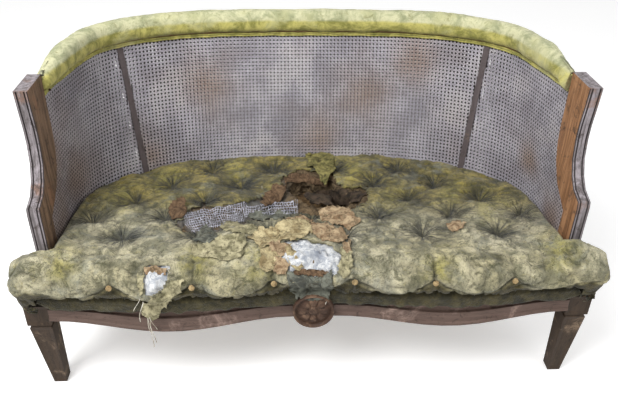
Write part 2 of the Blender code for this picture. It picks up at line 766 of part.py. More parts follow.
class SeatSheet:
    """The cover's outer face as one triangulated sheet, with its folds, tears and skirt marked."""

    def __init__(self):
        self.stations = seat_outline()
        self.profiles = [edge_profile(station) for station in self.stations]
        self.points = []
        self.faces = []
        self.rings = []
        self.mesh_top()
        self.mesh_skirt()
        self.find_normals()

    def lattice(self, limit):
        """Points at the tufts, crowns and folds, as far in from the outline as limit."""
        found = []
        step_x = TUFT_PITCH_X / 4
        step_y = TUFT_PITCH_Y / 2
        for j in range(-10, 3):
            for i in range(-14, 15):
                spot = Vector((i * step_x, TUFT_BACK_Y + j * step_y))
                if inside(spot, limit) and self.clear_of(spot, limit, 0.016):
                    if all(self.clear_of(spot, tear, 0.010) for tear in TEARS):
                        found.append((spot, (i, j)))
        return found

    @staticmethod
    def clear_of(spot, polygon, distance):
        for a, b in zip(polygon, polygon[1:] + polygon[:1]):
            a = Vector(a)
            b = Vector(b)
            share = max(0.0, min(1.0, (spot - a).dot(b - a) / (b - a).length_squared))
            if (spot - a.lerp(b, share)).length < distance:
                return False
        return True

    def mesh_top(self):
        rim = [station.at(*profile[0]).xy for station, profile in zip(self.stations, self.profiles)]
        rim = [tuple(point) for point in rim]
        coords = [Vector(point) for point in rim]
        edges = [(i, (i + 1) % len(rim)) for i in range(len(rim))]
        for tear in TEARS:
            start = len(coords)
            coords += [Vector(point) for point in tear]
            edges += [(start + i, start + (i + 1) % len(tear)) for i in range(len(tear))]
        index = {}
        for spot, key in self.lattice(rim):
            index[key] = len(coords)
            coords.append(spot)
        for i, j in index:
            for side in (-1, 1):
                on_fold = (i + side * j) % 4 == 2
                ahead = (i - side, j + 1)
                if on_fold and -8 <= j < 0 and ahead in index:
                    edges.append((index[i, j], index[ahead]))
        merged = 1e-5
        made = delaunay_2d_cdt(coords, edges, [], 1, merged)
        rim_count = len(rim)
        order = {}
        for new, old in enumerate(made[3]):
            for source in old:
                if source < rim_count:
                    order[source] = new
        for new, point in enumerate(made[0]):
            self.points.append(Vector((*point, seat_crown(*point) - tuft_depth(*point))))
        for source, new in order.items():
            self.points[new] = self.stations[source].at(*self.profiles[source][0])
        for face in made[2]:
            middle = sum((Vector(made[0][i]) for i in face), Vector((0, 0))) / len(face)
            if inside(middle, rim):
                self.faces.append((tuple(face), middle))
        self.rings.append([order[i] for i in range(rim_count)])

    def mesh_skirt(self):
        for level in range(1, 5):
            ring = []
            for station, profile in zip(self.stations, self.profiles):
                ring.append(len(self.points))
                self.points.append(station.at(*profile[level]))
            self.rings.append(ring)

    def skirt_faces(self, levels, torn):
        faces = []
        count = len(self.stations)
        for level in range(levels):
            for i in range(count):
                j = (i + 1) % count
                if torn and self.in_skirt_tear(level, i, j):
                    continue
                upper = self.rings[level]
                lower = self.rings[level + 1]
                faces.append((upper[j], upper[i], lower[i]))
                faces.append((upper[j], lower[i], lower[j]))
        return faces

    def in_skirt_tear(self, level, i, j):
        pair = (self.stations[i], self.stations[j])
        if not all(station.free and station.normal.x == 0 for station in pair):
            return False
        middle = (pair[0].spot.x + pair[1].spot.x) / 2
        return any(low < middle < high and level in levels for low, high, levels in SKIRT_TEARS)

    def find_normals(self):
        bm = bmesh.new()
        verts = [bm.verts.new(point) for point in self.points]
        for face, _ in self.faces:
            bm.faces.new([verts[i] for i in face])
        for face in self.skirt_faces(4, False):
            bm.faces.new([verts[i] for i in face])
        bm.normal_update()
        self.normals = [vert.normal.copy() for vert in verts]
        bm.free()

    def sunk(self, i, depth):
        return self.points[i] - self.normals[i] * depth

    def top_faces(self, keep):
        return [face for face, middle in self.faces if keep(middle)]


def shell(sheet, faces, outer_depth, inner_depth):
    """Closed skin between two depths below the sheet, over some of its faces."""
    bm = bmesh.new()
    used = sorted({i for face in faces for i in face})
    outer = {i: bm.verts.new(sheet.sunk(i, outer_depth)) for i in used}
    inner = {i: bm.verts.new(sheet.sunk(i, inner_depth)) for i in used}
    borders = {}
    for face in faces:
        bm.faces.new([outer[i] for i in face])
        bm.faces.new([inner[i] for i in reversed(face)])
        for a, b in zip(face, face[1:] + face[:1]):
            if (b, a) in borders:
                del borders[b, a]
            else:
                borders[a, b] = True
    for a, b in borders:
        bm.faces.new((outer[b], outer[a], inner[a], inner[b]))
    return bm


def add_seat_cover(sheet, root):
    """Tufted velvet cover, torn open over the middle, at the front and at the left corner."""
    faces = sheet.top_faces(lambda spot: not inside(spot, MAIN_TEAR) and not inside(spot, COTTON_TEAR))
    faces += sheet.skirt_faces(4, True)
    add_object("seat_cover", shell(sheet, faces, 0.0, COVER_THICK), "velvet", root, smooth_angle=60)


def add_cotton_layer(sheet, root):
    """White cotton under the cover, gone over the hollow in the middle of the seat."""
    bm = bmesh.new()
    depth = COVER_THICK + 2 * GAP
    faces = sheet.top_faces(lambda spot: not inside(spot, HOLLOW))
    faces += sheet.skirt_faces(3, False)
    used = sorted({i for face in faces for i in face})
    verts = {i: bm.verts.new(sheet.sunk(i, depth)) for i in used}
    for i in sheet.rings[3]:
        verts[i].co.z = max(verts[i].co.z, COTTON_BOTTOM)
    for face in faces:
        bm.faces.new([verts[i] for i in face])
    rim = [edge for edge in bm.edges if edge.is_boundary]
    hem = {verts[i] for i in sheet.rings[3]}
    torn = [edge for edge in rim if edge.verts[0] not in hem]
    dropped = bmesh.ops.extrude_edge_only(bm, edges=torn)["geom"]
    for item in dropped:
        if isinstance(item, bmesh.types.BMVert):
            item.co.z = COTTON_BOTTOM
    bottom = [edge for edge in bm.edges if edge.is_boundary]
    bmesh.ops.triangle_fill(bm, use_beauty=True, edges=bottom)
    add_object("cotton_layer", bm, "cotton", root, smooth_angle=60)


def add_hessian_scrap(sheet, root):
    """Loose strip of hessian that lies on the cotton in the long tear."""
    faces = sheet.top_faces(lambda spot: inside(spot, SCRAP))
    under = COVER_THICK + GAP
    add_object("hessian_scrap", shell(sheet, faces, under - HESSIAN_THICK, under), "hessian", root)


def inner_outline(inset):
    """Plan of the layers under the cotton: the seat's outline drawn in, with fewer points."""
    outline = []
    for i, station in enumerate(seat_outline()):
        ear = station.free and abs(station.spot.x) > POST_INNER_X - GAP
        if ear or (i % 2 and station.free):
            continue
        if station.free:
            x = station.spot.x
            outline.append((x, apron(x)[0] + LEDGE_STEP + COVER_THICK + inset))
        elif station.run is not None:
            outline.append(tuple(station.at(RAIL_TOP, -COVER_THICK - inset).xy))
    return outline


def add_felt_and_hessian(root):
    """Brown felt pad and the hessian that it lies on, both let in between the posts."""
    felt = prism(inner_outline(0.002), FELT_BOTTOM, FELT_BOTTOM + FELT_THICK)
    add_object("felt_pad", felt, "felt", root)
    hessian = prism(inner_outline(0.006), HESSIAN_BOTTOM, HESSIAN_BOTTOM + HESSIAN_THICK)
    add_object("hessian_deck", hessian, "hessian", root)


def web_path(start, end, crossings, lift_first):
    """Stations along a strip: it passes over and under the crossing strips in turn."""
    path = [(start, 0.0), (start + 0.03, 0.0)]
    for k, spot in enumerate(crossings):
        lift = 1 if (k + lift_first) % 2 else -1
        path += [(spot - WEB_WIDTH / 2, lift), (spot + WEB_WIDTH / 2, lift)]
    path += [(end - 0.03, 0.0), (end, 0.0)]
    return path


def add_webbing(root):
    """Interlaced jute strips, tacked on top of the rails."""
    columns = [WEB_PITCH_X * (i - (WEBS_DEEP - 1) / 2) for i in range(WEBS_DEEP)]
    rows = [WEB_PITCH_Y * (j - (WEBS_ACROSS - 1) / 2) - 0.04 for j in range(WEBS_ACROSS)]

    def strip(path, along_y, cross):
        rings = []
        half = WEB_WIDTH / 2
        for spot, lift in path:
            z = WEB_LEVEL + lift * WEB_RISE
            if lift == 0.0:
                z = WEB_LEVEL - WEB_RISE
            ring = []
            for a, b in ((-half, -0.5), (half, -0.5), (half, 0.5), (-half, 0.5)):
                here = (cross + a, spot) if along_y else (spot, cross + a)
                ring.append((*here, z + b * WEB_THICK))
            rings.append(ring)
        return loft(rings)

    for i, x in enumerate(columns):
        back = seat_reach_back(abs(x) + WEB_WIDTH / 2)
        front = apron(x)[0] + FRONT_RAIL_THICK - WEB_BEARING
        crossings = [y for y in rows if y + WEB_WIDTH < back]
        bm = strip(web_path(front, back, crossings, i % 2), True, x)
        add_object("webbing_deep_%d" % (i + 1), bm, "jute", root)
    for j, y in enumerate(rows):
        reach = seat_reach_side(y + WEB_WIDTH / 2)
        crossings = [x for x in columns if abs(x) + WEB_WIDTH < reach]
        bm = strip(web_path(-reach, reach, crossings, (j + 1) % 2), False, y)
        add_object("webbing_across_%d" % (j + 1), bm, "jute", root)


def rail_bearing():
    """Line on the curved seat rails where the webbing ends, along the right half."""
    out = FRAME_INNER + WEB_BEARING
    runs = spread(0, run_to_y(LEG_Y, RAIL_TOP), 200)
    return [plan_point(run, RAIL_TOP, out) for run in runs]


def seat_reach_back(x):
    """How far back the webbing's bearing lies at x."""
    return min((abs(point.x - x), point.y) for point in rail_bearing() if point.y > 0)[1]


def seat_reach_side(y):
    """How far out the webbing's bearing lies at y."""
    return min((abs(point.y - y), point.x) for point in rail_bearing() if point.x > POST_INNER_X / 2)[1]


def add_border_buttons(sheet, root):
    """Small covered buttons in the pits of the front border."""
    for number, x in enumerate(BUTTON_COLUMNS, start=1):
        station = min((s for s in sheet.stations if s.free), key=lambda s: abs(s.spot.x - x) + s.spot.y)
        profile = edge_profile(station)
        upper = station.at(*profile[1])
        lower = station.at(*profile[2])
        share = (upper.z - BUTTON_Z) / (upper.z - lower.z)
        spot = upper.lerp(lower, share)
        spot.y -= BUTTON_RADIUS * EDGE_PLEAT / (TUFT_PITCH_X / 4) + 3 * GAP
        along = (lower - upper).normalized()
        out = Vector((0, along.z, -along.y)).normalized()
        if out.y > 0:
            out.negate()
        rings = []
        for radius, rise in ((1.0, 0.0), (0.9, 0.003), (0.4, 0.0045)):
            ring = []
            for k in range(8):
                angle = math.pi * k / 4
                offset = Vector((math.cos(angle), 0, 0)) + along * math.sin(angle)
                ring.append(spot + offset * BUTTON_RADIUS * radius + out * rise)
            rings.append(ring)
        add_object("border_button_%d" % number, loft(rings), "button", root)


def centre_on_floor(root):
    """Bring the middle of the settee's depth to Y = 0."""
    reach = [corner.y for item in root.children for corner in map(Vector, item.bound_box)]
    root.location.y = -(min(reach) + max(reach)) / 2


def main():
    clear_scene()
    root = bpy.data.objects.new("settee", None)
    bpy.context.scene.collection.objects.link(root)
    for side in (-1, 1):
        add_front_leg(side, root)
        add_back_leg(side, root)
        add_corner_block(side, root)
        add_arm_post(side, root)
        add_mullion(side, root)
    add_seat_rails(root)
    add_front_rail(root)
    add_medallion(root)
    add_cane_rails(root)
    add_crest_rails(root)
    add_cane(root)
    add_crest_pad(root)
    add_crest_welts(root)
    add_webbing(root)
    add_felt_and_hessian(root)
    sheet = SeatSheet()
    add_cotton_layer(sheet, root)
    add_seat_cover(sheet, root)
    add_hessian_scrap(sheet, root)
    add_border_buttons(sheet, root)
    centre_on_floor(root)


main()
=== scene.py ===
"""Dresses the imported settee: woven cane, torn velvet, stuffing, weathered wood and a photo stage."""

import math

import bmesh
import bpy
import numpy as np
from bpy.props import FloatProperty, FloatVectorProperty, PointerProperty
from mathutils.bvhtree import BVHTree
from mathutils import Matrix, Vector


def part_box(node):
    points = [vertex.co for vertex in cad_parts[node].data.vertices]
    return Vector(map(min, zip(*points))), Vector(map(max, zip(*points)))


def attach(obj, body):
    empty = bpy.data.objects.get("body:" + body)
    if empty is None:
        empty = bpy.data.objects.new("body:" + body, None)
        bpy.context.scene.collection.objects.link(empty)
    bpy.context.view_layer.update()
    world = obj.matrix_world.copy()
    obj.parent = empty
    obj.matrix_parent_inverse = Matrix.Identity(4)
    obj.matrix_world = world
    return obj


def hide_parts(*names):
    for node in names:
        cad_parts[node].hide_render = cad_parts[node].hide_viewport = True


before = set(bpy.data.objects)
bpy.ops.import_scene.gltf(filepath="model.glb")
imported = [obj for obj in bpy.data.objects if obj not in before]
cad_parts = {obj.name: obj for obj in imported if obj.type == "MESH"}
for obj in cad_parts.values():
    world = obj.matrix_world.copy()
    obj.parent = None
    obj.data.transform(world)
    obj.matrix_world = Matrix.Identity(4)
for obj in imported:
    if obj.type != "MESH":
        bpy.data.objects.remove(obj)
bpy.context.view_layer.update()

bl_info = {
    "name": "Torn Settee",
    "version": (1, 0, 0),
    "blender": (4, 5, 0),
    "location": "View3D > Sidebar > Settee",
    "description": "Dresses a cane-back settee with torn, tufted velvet",
    "category": "Object",
}

BODY = "root"
PHOTO_SIZE = (618, 404)


def node_box(name):
    """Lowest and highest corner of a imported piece."""
    low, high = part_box(name)
    return Vector(low), Vector(high)


# Places read from the frame
CREST_BOTTOM = node_box("crest_rail_centre")[0].z
POST_INNER_X = node_box("arm_post_right")[0].x
LEG_LOW = node_box("front_leg_right")[0]
BOSS_LOW, BOSS_HIGH = node_box("medallion")
PAD_LOW, PAD_HIGH = node_box("crest_pad")
CANE_RAIL_TOP = node_box("cane_rail_centre")[1].z

# The barrel's plan, as the frame was drawn: a superellipse that leans back
LEG_FRONT_Y = -0.370
DEPTH_SHIFT = LEG_LOW.y - LEG_FRONT_Y
CANE_SETBACK = 0.004
PLAN_CENTRE_Y = -0.125
BACK_DEPTH = 0.4605
BACK_LEAN = 0.1475
PLAN_POWER = 3.087
PLAN_POWER_SLOPE = 1.27
ARM_TUCK = 0.016
MULLION_SHARE = 0.595
MULLION_LEAN = 0.025
MULLION_WIDTH = 0.018
FRAME_INNER = -0.002
FRAME_OUTER = 0.028
POST_REAR_Y = -0.124
FOOT_REAR_Y = -0.250
POST_HALF_WIDTH = 0.0165
REAR_COVE_TOP = 0.670
REAR_COVE_END = 0.500
BARREL_HEIGHTS = (0.28, 0.86)
BARREL_RUN = 1.25

# The seat's form
NOSE_Y = -0.424
SEAT_FRONT_TOP = 0.434
SEAT_BACK_TOP = 0.388
EAR_LIFT = 0.034
TUFT_PITCH_X = 0.20
TUFT_PITCH_Y = 0.105
TUFT_BACK_Y = 0.175
TUFT_ROWS = 5
TUFT_DRIFT_X = 0.008
TUFT_DRIFT_Y = 0.006
TUFT_FIRST_REACH = 0.35
TUFT_REACH_STEP = 0.09
TUFT_DEPTH = 0.034
FOLD_DEPTH = 0.013
PLEAT_DEPTH = 0.010
BORDER_Z = 0.388
SCALLOP = 0.036
EVEN_STEP = 0.0045
TUFT_SQUEEZE = 1.2
CREASE_DEPTH = 0.0050
PIT_DEPTH = 0.017
PIT_REACH = 0.011
EAR_SLOPE = 0.068
REAR_TUCK = 0.040

# Where the arms end in plan, for distances to the walls
ARM_END_Y = -0.30
POST_FRONT_Y = -0.320
FAR_FROM_WALL = 0.3

# The cover's low edge, which hangs in front of the waved rail
RAIL_FACE_Y = -0.375
RAIL_WAVE = 0.020
BOSS_HALF = 0.053
HEM_GAP = 0.011
HEM_TOP = 0.357
HEM_LOW = 0.309
HEM_HALF = 0.70
HEM_OUT = 0.006

# The torn edges and what shows under them
RAGGED = 0.008
RAGGED_FINE = 0.005
TEAR_CURL = 0.007
TEAR_CURL_REACH = 0.010
BED_UNDER_COVER = 0.018
FLUFF = 0.009
FLUFF_FINE = 0.0055

# Outlines of the tears, in pixels of the photograph
MAIN_TEAR = (
    (178, 224), (188, 212), (205, 205), (222, 208), (242, 203), (262, 199), (282, 194), (281, 178),
    (298, 171), (330, 173), (338, 186), (368, 190), (366, 203), (345, 212), (322, 216), (298, 214),
    (270, 218), (248, 222), (226, 230), (200, 232), (184, 230),
)
COTTON_TEAR = (
    (282, 252), (288, 243), (303, 240), (316, 243), (330, 245), (341, 254), (342, 266), (334, 277),
    (312, 279), (293, 275), (281, 265),
)
CORNER_TEAR = (
    (144, 268), (156, 265), (169, 267), (166, 277), (163, 286), (155, 294), (146, 295), (142, 284),
)

# Camera, fitted to the photograph
LENS_PX = 675.09
PITCH = 0.5601
YAW = 0.0528
ROLL = 0.0152
CAMERA_AT = Vector((-0.0855, -1.7124 + DEPTH_SHIFT, 1.4403))
# Pixels above this row that miss the dressed seat are looked up on its plain form
SEAT_FOOT_ROW = PHOTO_SIZE[1] / 2 + 40

# The dressed seat, kept for the pieces that are laid on it
seat_skin = {}


def camera_axes():
    """Right, up and forward of the camera."""
    forward = Vector((math.sin(YAW) * math.cos(PITCH), math.cos(YAW) * math.cos(PITCH), -math.sin(PITCH)))
    level = Vector((math.cos(YAW), -math.sin(YAW), 0))
    rise = level.cross(forward)
    right = math.cos(ROLL) * level + math.sin(ROLL) * rise
    up = -math.sin(ROLL) * level + math.cos(ROLL) * rise
    return right, up, forward


def srgb(red, green, blue):
    """Linear colour for a shader from screen values of 0 to 255."""
    def linear(value):
        value /= 255
        return value / 12.92 if value <= 0.04045 else ((value + 0.055) / 1.055) ** 2.4
    return linear(red), linear(green), linear(blue), 1.0


def ease(share):
    """Smooth step from 0 to 1."""
    share = np.clip(share, 0.0, 1.0)
    return share * share * (3 - 2 * share)


def soft_noise(points, size, seed):
    """Smooth seeded noise from -1 to 1 at points, with features of that size."""
    table = np.random.default_rng(seed).uniform(-1, 1, (32, 32, 32))
    spot = np.asarray(points) / size
    cell = np.floor(spot).astype(int)
    part = ease(spot - cell)
    total = 0.0
    for dx in (0, 1):
        for dy in (0, 1):
            for dz in (0, 1):
                weight = np.abs(1 - dx - part[:, 0]) * np.abs(1 - dy - part[:, 1])
                weight = weight * np.abs(1 - dz - part[:, 2])
                index = (cell + (dx, dy, dz)) % 32
                total = total + weight * table[index[:, 0], index[:, 1], index[:, 2]]
    return total


def ridges(points, size, seed):
    """Noise with sharp creases, from 0 in a crease to 1 between them."""
    return np.abs(soft_noise(points, size, seed)) ** 0.6


class Barrel:
    """The barrel back as a sheet: points by run along it, height, and depth through the wall."""

    def __init__(self):
        self.levels = np.linspace(*BARREL_HEIGHTS, 30)
        self.runs = np.linspace(0, BARREL_RUN, 900)
        self.table = np.array([self.level(z) for z in self.levels])
        self.lengths = np.array([self.half_plan(z)[1][-1] for z in self.levels])

    @staticmethod
    def half_plan(z):
        """The plan's right half at a height, from the middle of the back, and the run along it."""
        depth = BACK_DEPTH + BACK_LEAN * (z - CREST_BOTTOM)
        power = PLAN_POWER + PLAN_POWER_SLOPE * (z - CREST_BOTTOM)
        tuck = ARM_TUCK * ease((z - SEAT_BACK_TOP) / (CREST_BOTTOM - SEAT_BACK_TOP))
        angle = np.linspace(0, math.pi / 2, 400)
        reach = np.maximum(np.cos(angle), 0) ** (2 / power)
        x = (POST_INNER_X + CANE_SETBACK) * np.sin(angle) ** (2 / power)
        x = x - tuck * np.sin(math.pi * np.minimum(1.0, reach / 0.75)) ** 2
        y = PLAN_CENTRE_Y + depth * reach
        run = np.concatenate(([0], np.cumsum(np.hypot(np.diff(x), np.diff(y)))))
        return (x, y), run

    def level(self, z):
        """Place and outward direction at each run, at a height; straight on past the plan's end."""
        (x, y), run = self.half_plan(z)
        over = np.maximum(self.runs - run[-1], 0)
        px = np.interp(self.runs, run, x)
        py = np.interp(self.runs, run, y) - over
        tx = np.gradient(px)
        ty = np.gradient(py)
        length = np.hypot(tx, ty)
        return np.stack((px, py, -ty / length, tx / length))

    def length(self, z):
        return np.interp(z, self.levels, self.lengths)

    def at(self, run, z, out=0.0):
        """Points (n, 3) for arrays of run, height and depth."""
        run, z, out = np.broadcast_arrays(*map(np.asarray, (run, z, out)))
        side = np.where(run < 0, -1.0, 1.0)
        column = np.clip(np.abs(run) / self.runs[1], 0, len(self.runs) - 1.001)
        row = np.clip((z - self.levels[0]) / (self.levels[1] - self.levels[0]), 0, len(self.levels) - 1.001)
        i = column.astype(int)
        j = row.astype(int)
        u = column - i
        v = row - j
        found = []
        for k in range(4):
            low = self.table[j, k, i] * (1 - u) + self.table[j, k, i + 1] * u
            high = self.table[j + 1, k, i] * (1 - u) + self.table[j + 1, k, i + 1] * u
            found.append(low * (1 - v) + high * v)
        x = (found[0] + found[2] * out) * side
        y = found[1] + found[3] * out + DEPTH_SHIFT
        return np.stack((x, y, z), axis=-1)

    def mullion(self, z):
        """Run of the mullion's middle."""
        return (MULLION_SHARE + MULLION_LEAN * (z - CREST_BOTTOM)) * self.length(z)

    def post(self, z):
        """Run at which the post's rear edge is met."""
        share = np.clip((REAR_COVE_TOP - z) / (REAR_COVE_TOP - REAR_COVE_END), 0, 1)
        y = POST_REAR_Y + (FOOT_REAR_Y - POST_REAR_Y) * (1 - np.sqrt(1 - share ** 2))
        return self.length(z) + PLAN_CENTRE_Y - y

    def spans(self, z):
        """Runs of the three panels at heights z."""
        joint = self.mullion(z)
        clear = MULLION_WIDTH / 2
        end = self.post(z)
        return {
            "left": (-end, -joint - clear),
            "centre": (-joint + clear, joint - clear),
            "right": (joint + clear, end),
        }


barrel = Barrel()


def join_frame(piece, material, slot, replaced, smooth=True):
    """Link a piece, ride it on the frame and give it its material; the slot is not used."""
    piece.data.materials.clear()
    piece.data.materials.append(material)
    bpy.context.scene.collection.objects.link(piece)
    if smooth:
        piece.data.shade_smooth()
    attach(piece, BODY)
    if replaced:
        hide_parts(*replaced)
    return piece


def make_piece(name, points, faces, material, slot, replaced=(), smooth=True):
    """A mesh piece that rides on the frame and takes the material given; the slot is not used."""
    mesh = bpy.data.meshes.new(name)
    mesh.from_pydata([tuple(p) for p in points], [], [tuple(int(i) for i in f) for f in faces])
    mesh.validate()
    return join_frame(bpy.data.objects.new(name, mesh), material, slot, replaced, smooth)


def copy_piece(source, name, material, slot, replaced=()):
    """A copy of a skin as a piece of its own."""
    mesh = source.data.copy()
    mesh.name = name
    return join_frame(bpy.data.objects.new(name, mesh), material, slot, replaced)


def set_attribute(piece, name, values):
    """Store one number for each vertex, which the piece's material reads."""
    layer = piece.data.attributes.new(name, "FLOAT", "POINT")
    layer.data.foreach_set("value", np.asarray(values, dtype=np.float32))


def read_vectors(items, key):
    """A vector of each item as rows of an array."""
    values = np.empty(len(items) * 3)
    items.foreach_get(key, values)
    return values.reshape(-1, 3)


def get_points(piece):
    return read_vectors(piece.data.vertices, "co")


def get_normals(piece):
    return read_vectors(piece.data.vertex_normals, "vector")


def set_points(piece, points):
    piece.data.vertices.foreach_set("co", np.asarray(points, dtype=np.float32).ravel())
    piece.data.update()


class Finish:
    """Short ways to build one material's nodes; a colour is three screen values of 0 to 255."""

    def __init__(self, name, roughness=0.8):
        self.material = bpy.data.materials.new(name)
        self.material.use_nodes = True
        self.tree = self.material.node_tree
        self.shader = self.tree.nodes["Principled BSDF"]
        self.shader.inputs["Roughness"].default_value = roughness
        self.shader.inputs["Specular IOR Level"].default_value = 0.25
        self.place = self.new("TexCoord").outputs["Object"]

    def new(self, kind):
        return self.tree.nodes.new("ShaderNode" + kind)

    def plug(self, value, socket):
        if isinstance(value, bpy.types.NodeSocket):
            self.tree.links.new(value, socket)
        elif isinstance(value, tuple) and len(value) == 3:
            socket.default_value = srgb(*value)
        else:
            socket.default_value = value

    def stretched(self, scale):
        """The piece's coordinates, stretched: a larger number makes finer detail along that axis."""
        node = self.new("Mapping")
        self.plug(self.place, node.inputs["Vector"])
        node.inputs["Scale"].default_value = scale
        return node.outputs["Vector"]

    def noise(self, scale, detail=5, rough=0.6, twist=0.0, vector=None):
        node = self.new("TexNoise")
        self.plug(vector or self.place, node.inputs["Vector"])
        for key, value in (("Scale", scale), ("Detail", detail), ("Roughness", rough), ("Distortion", twist)):
            node.inputs[key].default_value = value
        return node.outputs["Fac"]

    def attribute(self, name, output="Fac"):
        node = self.new("Attribute")
        node.attribute_name = name
        return node.outputs[output]

    def step(self, value, low, high):
        """0 below low, 1 above high."""
        node = self.new("MapRange")
        node.interpolation_type = "SMOOTHSTEP"
        self.plug(value, node.inputs["Value"])
        node.inputs["From Min"].default_value = low
        node.inputs["From Max"].default_value = high
        return node.outputs["Result"]

    def patch(self, edges, *noise):
        """Patches where a noise is above the edges."""
        return self.step(self.noise(*noise), *edges)

    def maths(self, operation, a, b=0.0):
        node = self.new("Math")
        node.operation = operation
        self.plug(a, node.inputs[0])
        self.plug(b, node.inputs[1])
        return node.outputs["Value"]

    def times(self, a, b):
        return self.maths("MULTIPLY", a, b)

    def plus(self, a, b):
        return self.maths("ADD", a, b)

    def mix(self, share, a, b):
        node = self.new("Mix")
        node.data_type = "RGBA"
        self.plug(share, node.inputs["Factor"])
        self.plug(a, node.inputs["A"])
        self.plug(b, node.inputs["B"])
        return node.outputs["Result"]

    def mark(self, colour, marks):
        """Lay marks over a colour in turn: colour, share, edges, noise and the attribute that limits it."""
        for over, share, edges, noise, where in marks:
            amount = self.times(self.patch(edges, *noise), share)
            if where:
                amount = self.times(self.attribute(where), amount)
            colour = self.mix(amount, colour, over)
        return colour

    def finish(self, colour, height=None, strength=0.5, depth=0.002):
        self.plug(colour, self.shader.inputs["Base Color"])
        if height is not None:
            bump = self.new("Bump")
            bump.inputs["Strength"].default_value = strength
            bump.inputs["Distance"].default_value = depth
            self.plug(height, bump.inputs["Height"])
            self.plug(bump.outputs["Normal"], self.shader.inputs["Normal"])
        return self.material


# Marks as the materials lay them: colour, share, edges, noise (scale, detail, roughness, twist), attribute
VELVET_MARKS = (
    ((142, 148, 142), 0.50, (0.52, 0.66), (11, 7, 0.70, 0.8), None),     # cool, faded
    ((190, 180, 96), 0.70, (0.36, 0.60), (34, 7, 0.70), "yellow"),       # bare yellow ground
    ((200, 188, 124), 0.45, (0.56, 0.66), (24, 9, 0.75, 0.9), None),     # thin pile
    ((74, 74, 50), 0.72, (0.50, 0.60), (26, 10, 0.82, 1.0), None),       # mould
    ((46, 46, 34), 0.65, (0.52, 0.62), (170, 6, 0.85), None),            # specks
    ((50, 48, 32), 0.85, (0.30, 0.56), (40, 8, 0.75), "soil_and_shade"),           # grime at the soil spots, darker near the tears and over the low front band, and painted shade where the seat meets the back and arms
)
CREST_MARKS = (
    ((190, 188, 142), 0.70, (0.50, 0.66), (7, 5, 0.60), None),
    ((118, 116, 70), 0.60, (0.53, 0.66), (36, 9, 0.78, 0.8), None),
    ((84, 82, 52), 0.45, (0.56, 0.68), (200, 5, 0.80), None),
)
CANE_MARKS = (
    ((222, 216, 208), 0.30, (0.52, 0.66), (4.5, 5, 0.60), None),
    ((92, 78, 72), 0.45, (0.48, 0.70), (160, 4, 0.70), None),
)
POST_MARKS = (
    ((146, 106, 80), 0.50, (0.56, 0.66), (8, 6, 0.70), None),
    ((62, 52, 46), 0.75, (0.52, 0.64), (32, 9, 0.80, 0.8), None),
)
CLOTH_MARKS = (((62, 56, 42), 0.70, (0.50, 0.60), (60, 9, 0.82, 0.8), None),)


def velvet_finish():
    """Faded olive velvet: pale at the front, mould stains, bare yellow patches, grime; painted shade in the
    creases, along the pleat lines at the tufts and where the seat meets the back and arms.
    """
    f = Finish("seat_velvet", 0.92)
    f.shader.inputs["Sheen Weight"].default_value = 0.15
    f.shader.inputs["Sheen Roughness"].default_value = 0.5
    blotch = f.patch((0.40, 0.62), 16, 9, 0.72, 0.5)
    olive = f.mix(blotch, (88, 82, 46), (176, 160, 88))
    pale = f.mix(blotch, (142, 139, 114), (222, 214, 182))
    colour = f.mark(f.mix(f.attribute("front"), olive, pale), VELVET_MARKS)
    low = f.mix(f.patch((0.42, 0.60), 26, 8, 0.75), (26, 24, 16), (72, 64, 38))
    colour = f.mix(f.times(f.attribute("band"), 0.85), colour, low)
    # Painted shade in the creases, folds, wrinkles and tuft pits.
    colour = f.mix(f.times(f.attribute("crease"), 0.8), colour, (40, 40, 28))
    # Painted shade: dark fine lines along the pleats that run out from the tufts, on the upward faces near
    # them.
    pleats = f.noise(9.0, 4, 0.8, vector=f.attribute("ray", "Vector"))
    lines = f.times(f.step(pleats, 0.50, 0.555), f.attribute("near"))
    colour = f.mix(lines, colour, (26, 29, 26))
    nap = f.plus(f.noise(90, 8, 0.75), f.times(f.noise(420, 3), 0.5))
    wrinkles = f.plus(nap, f.times(f.noise(30, 7, 0.65, 1.4), 1.6))
    return f.finish(colour, f.maths("SUBTRACT", wrinkles, f.times(lines, 2.0)), 0.9, 0.0045)


def crest_finish():
    """Velvet of the crest pad, faded on its top and yellow-green below."""
    f = Finish("crest_velvet", 0.9)
    f.shader.inputs["Sheen Weight"].default_value = 0.15
    blotch = f.patch((0.38, 0.62), 20, 8, 0.75, 0.6)
    top = f.mix(blotch, (150, 154, 118), (204, 202, 164))
    face = f.mix(blotch, (132, 130, 66), (194, 186, 108))
    share = f.plus(f.attribute("top"), f.times(f.noise(28, 6, 0.7), 0.6))
    colour = f.mark(f.mix(f.step(share, 0.45, 1.05), face, top), CREST_MARKS)
    height = f.plus(f.noise(110, 8, 0.75), f.times(f.noise(24, 5), 1.4))
    return f.finish(colour, height, 0.6, 0.0022)


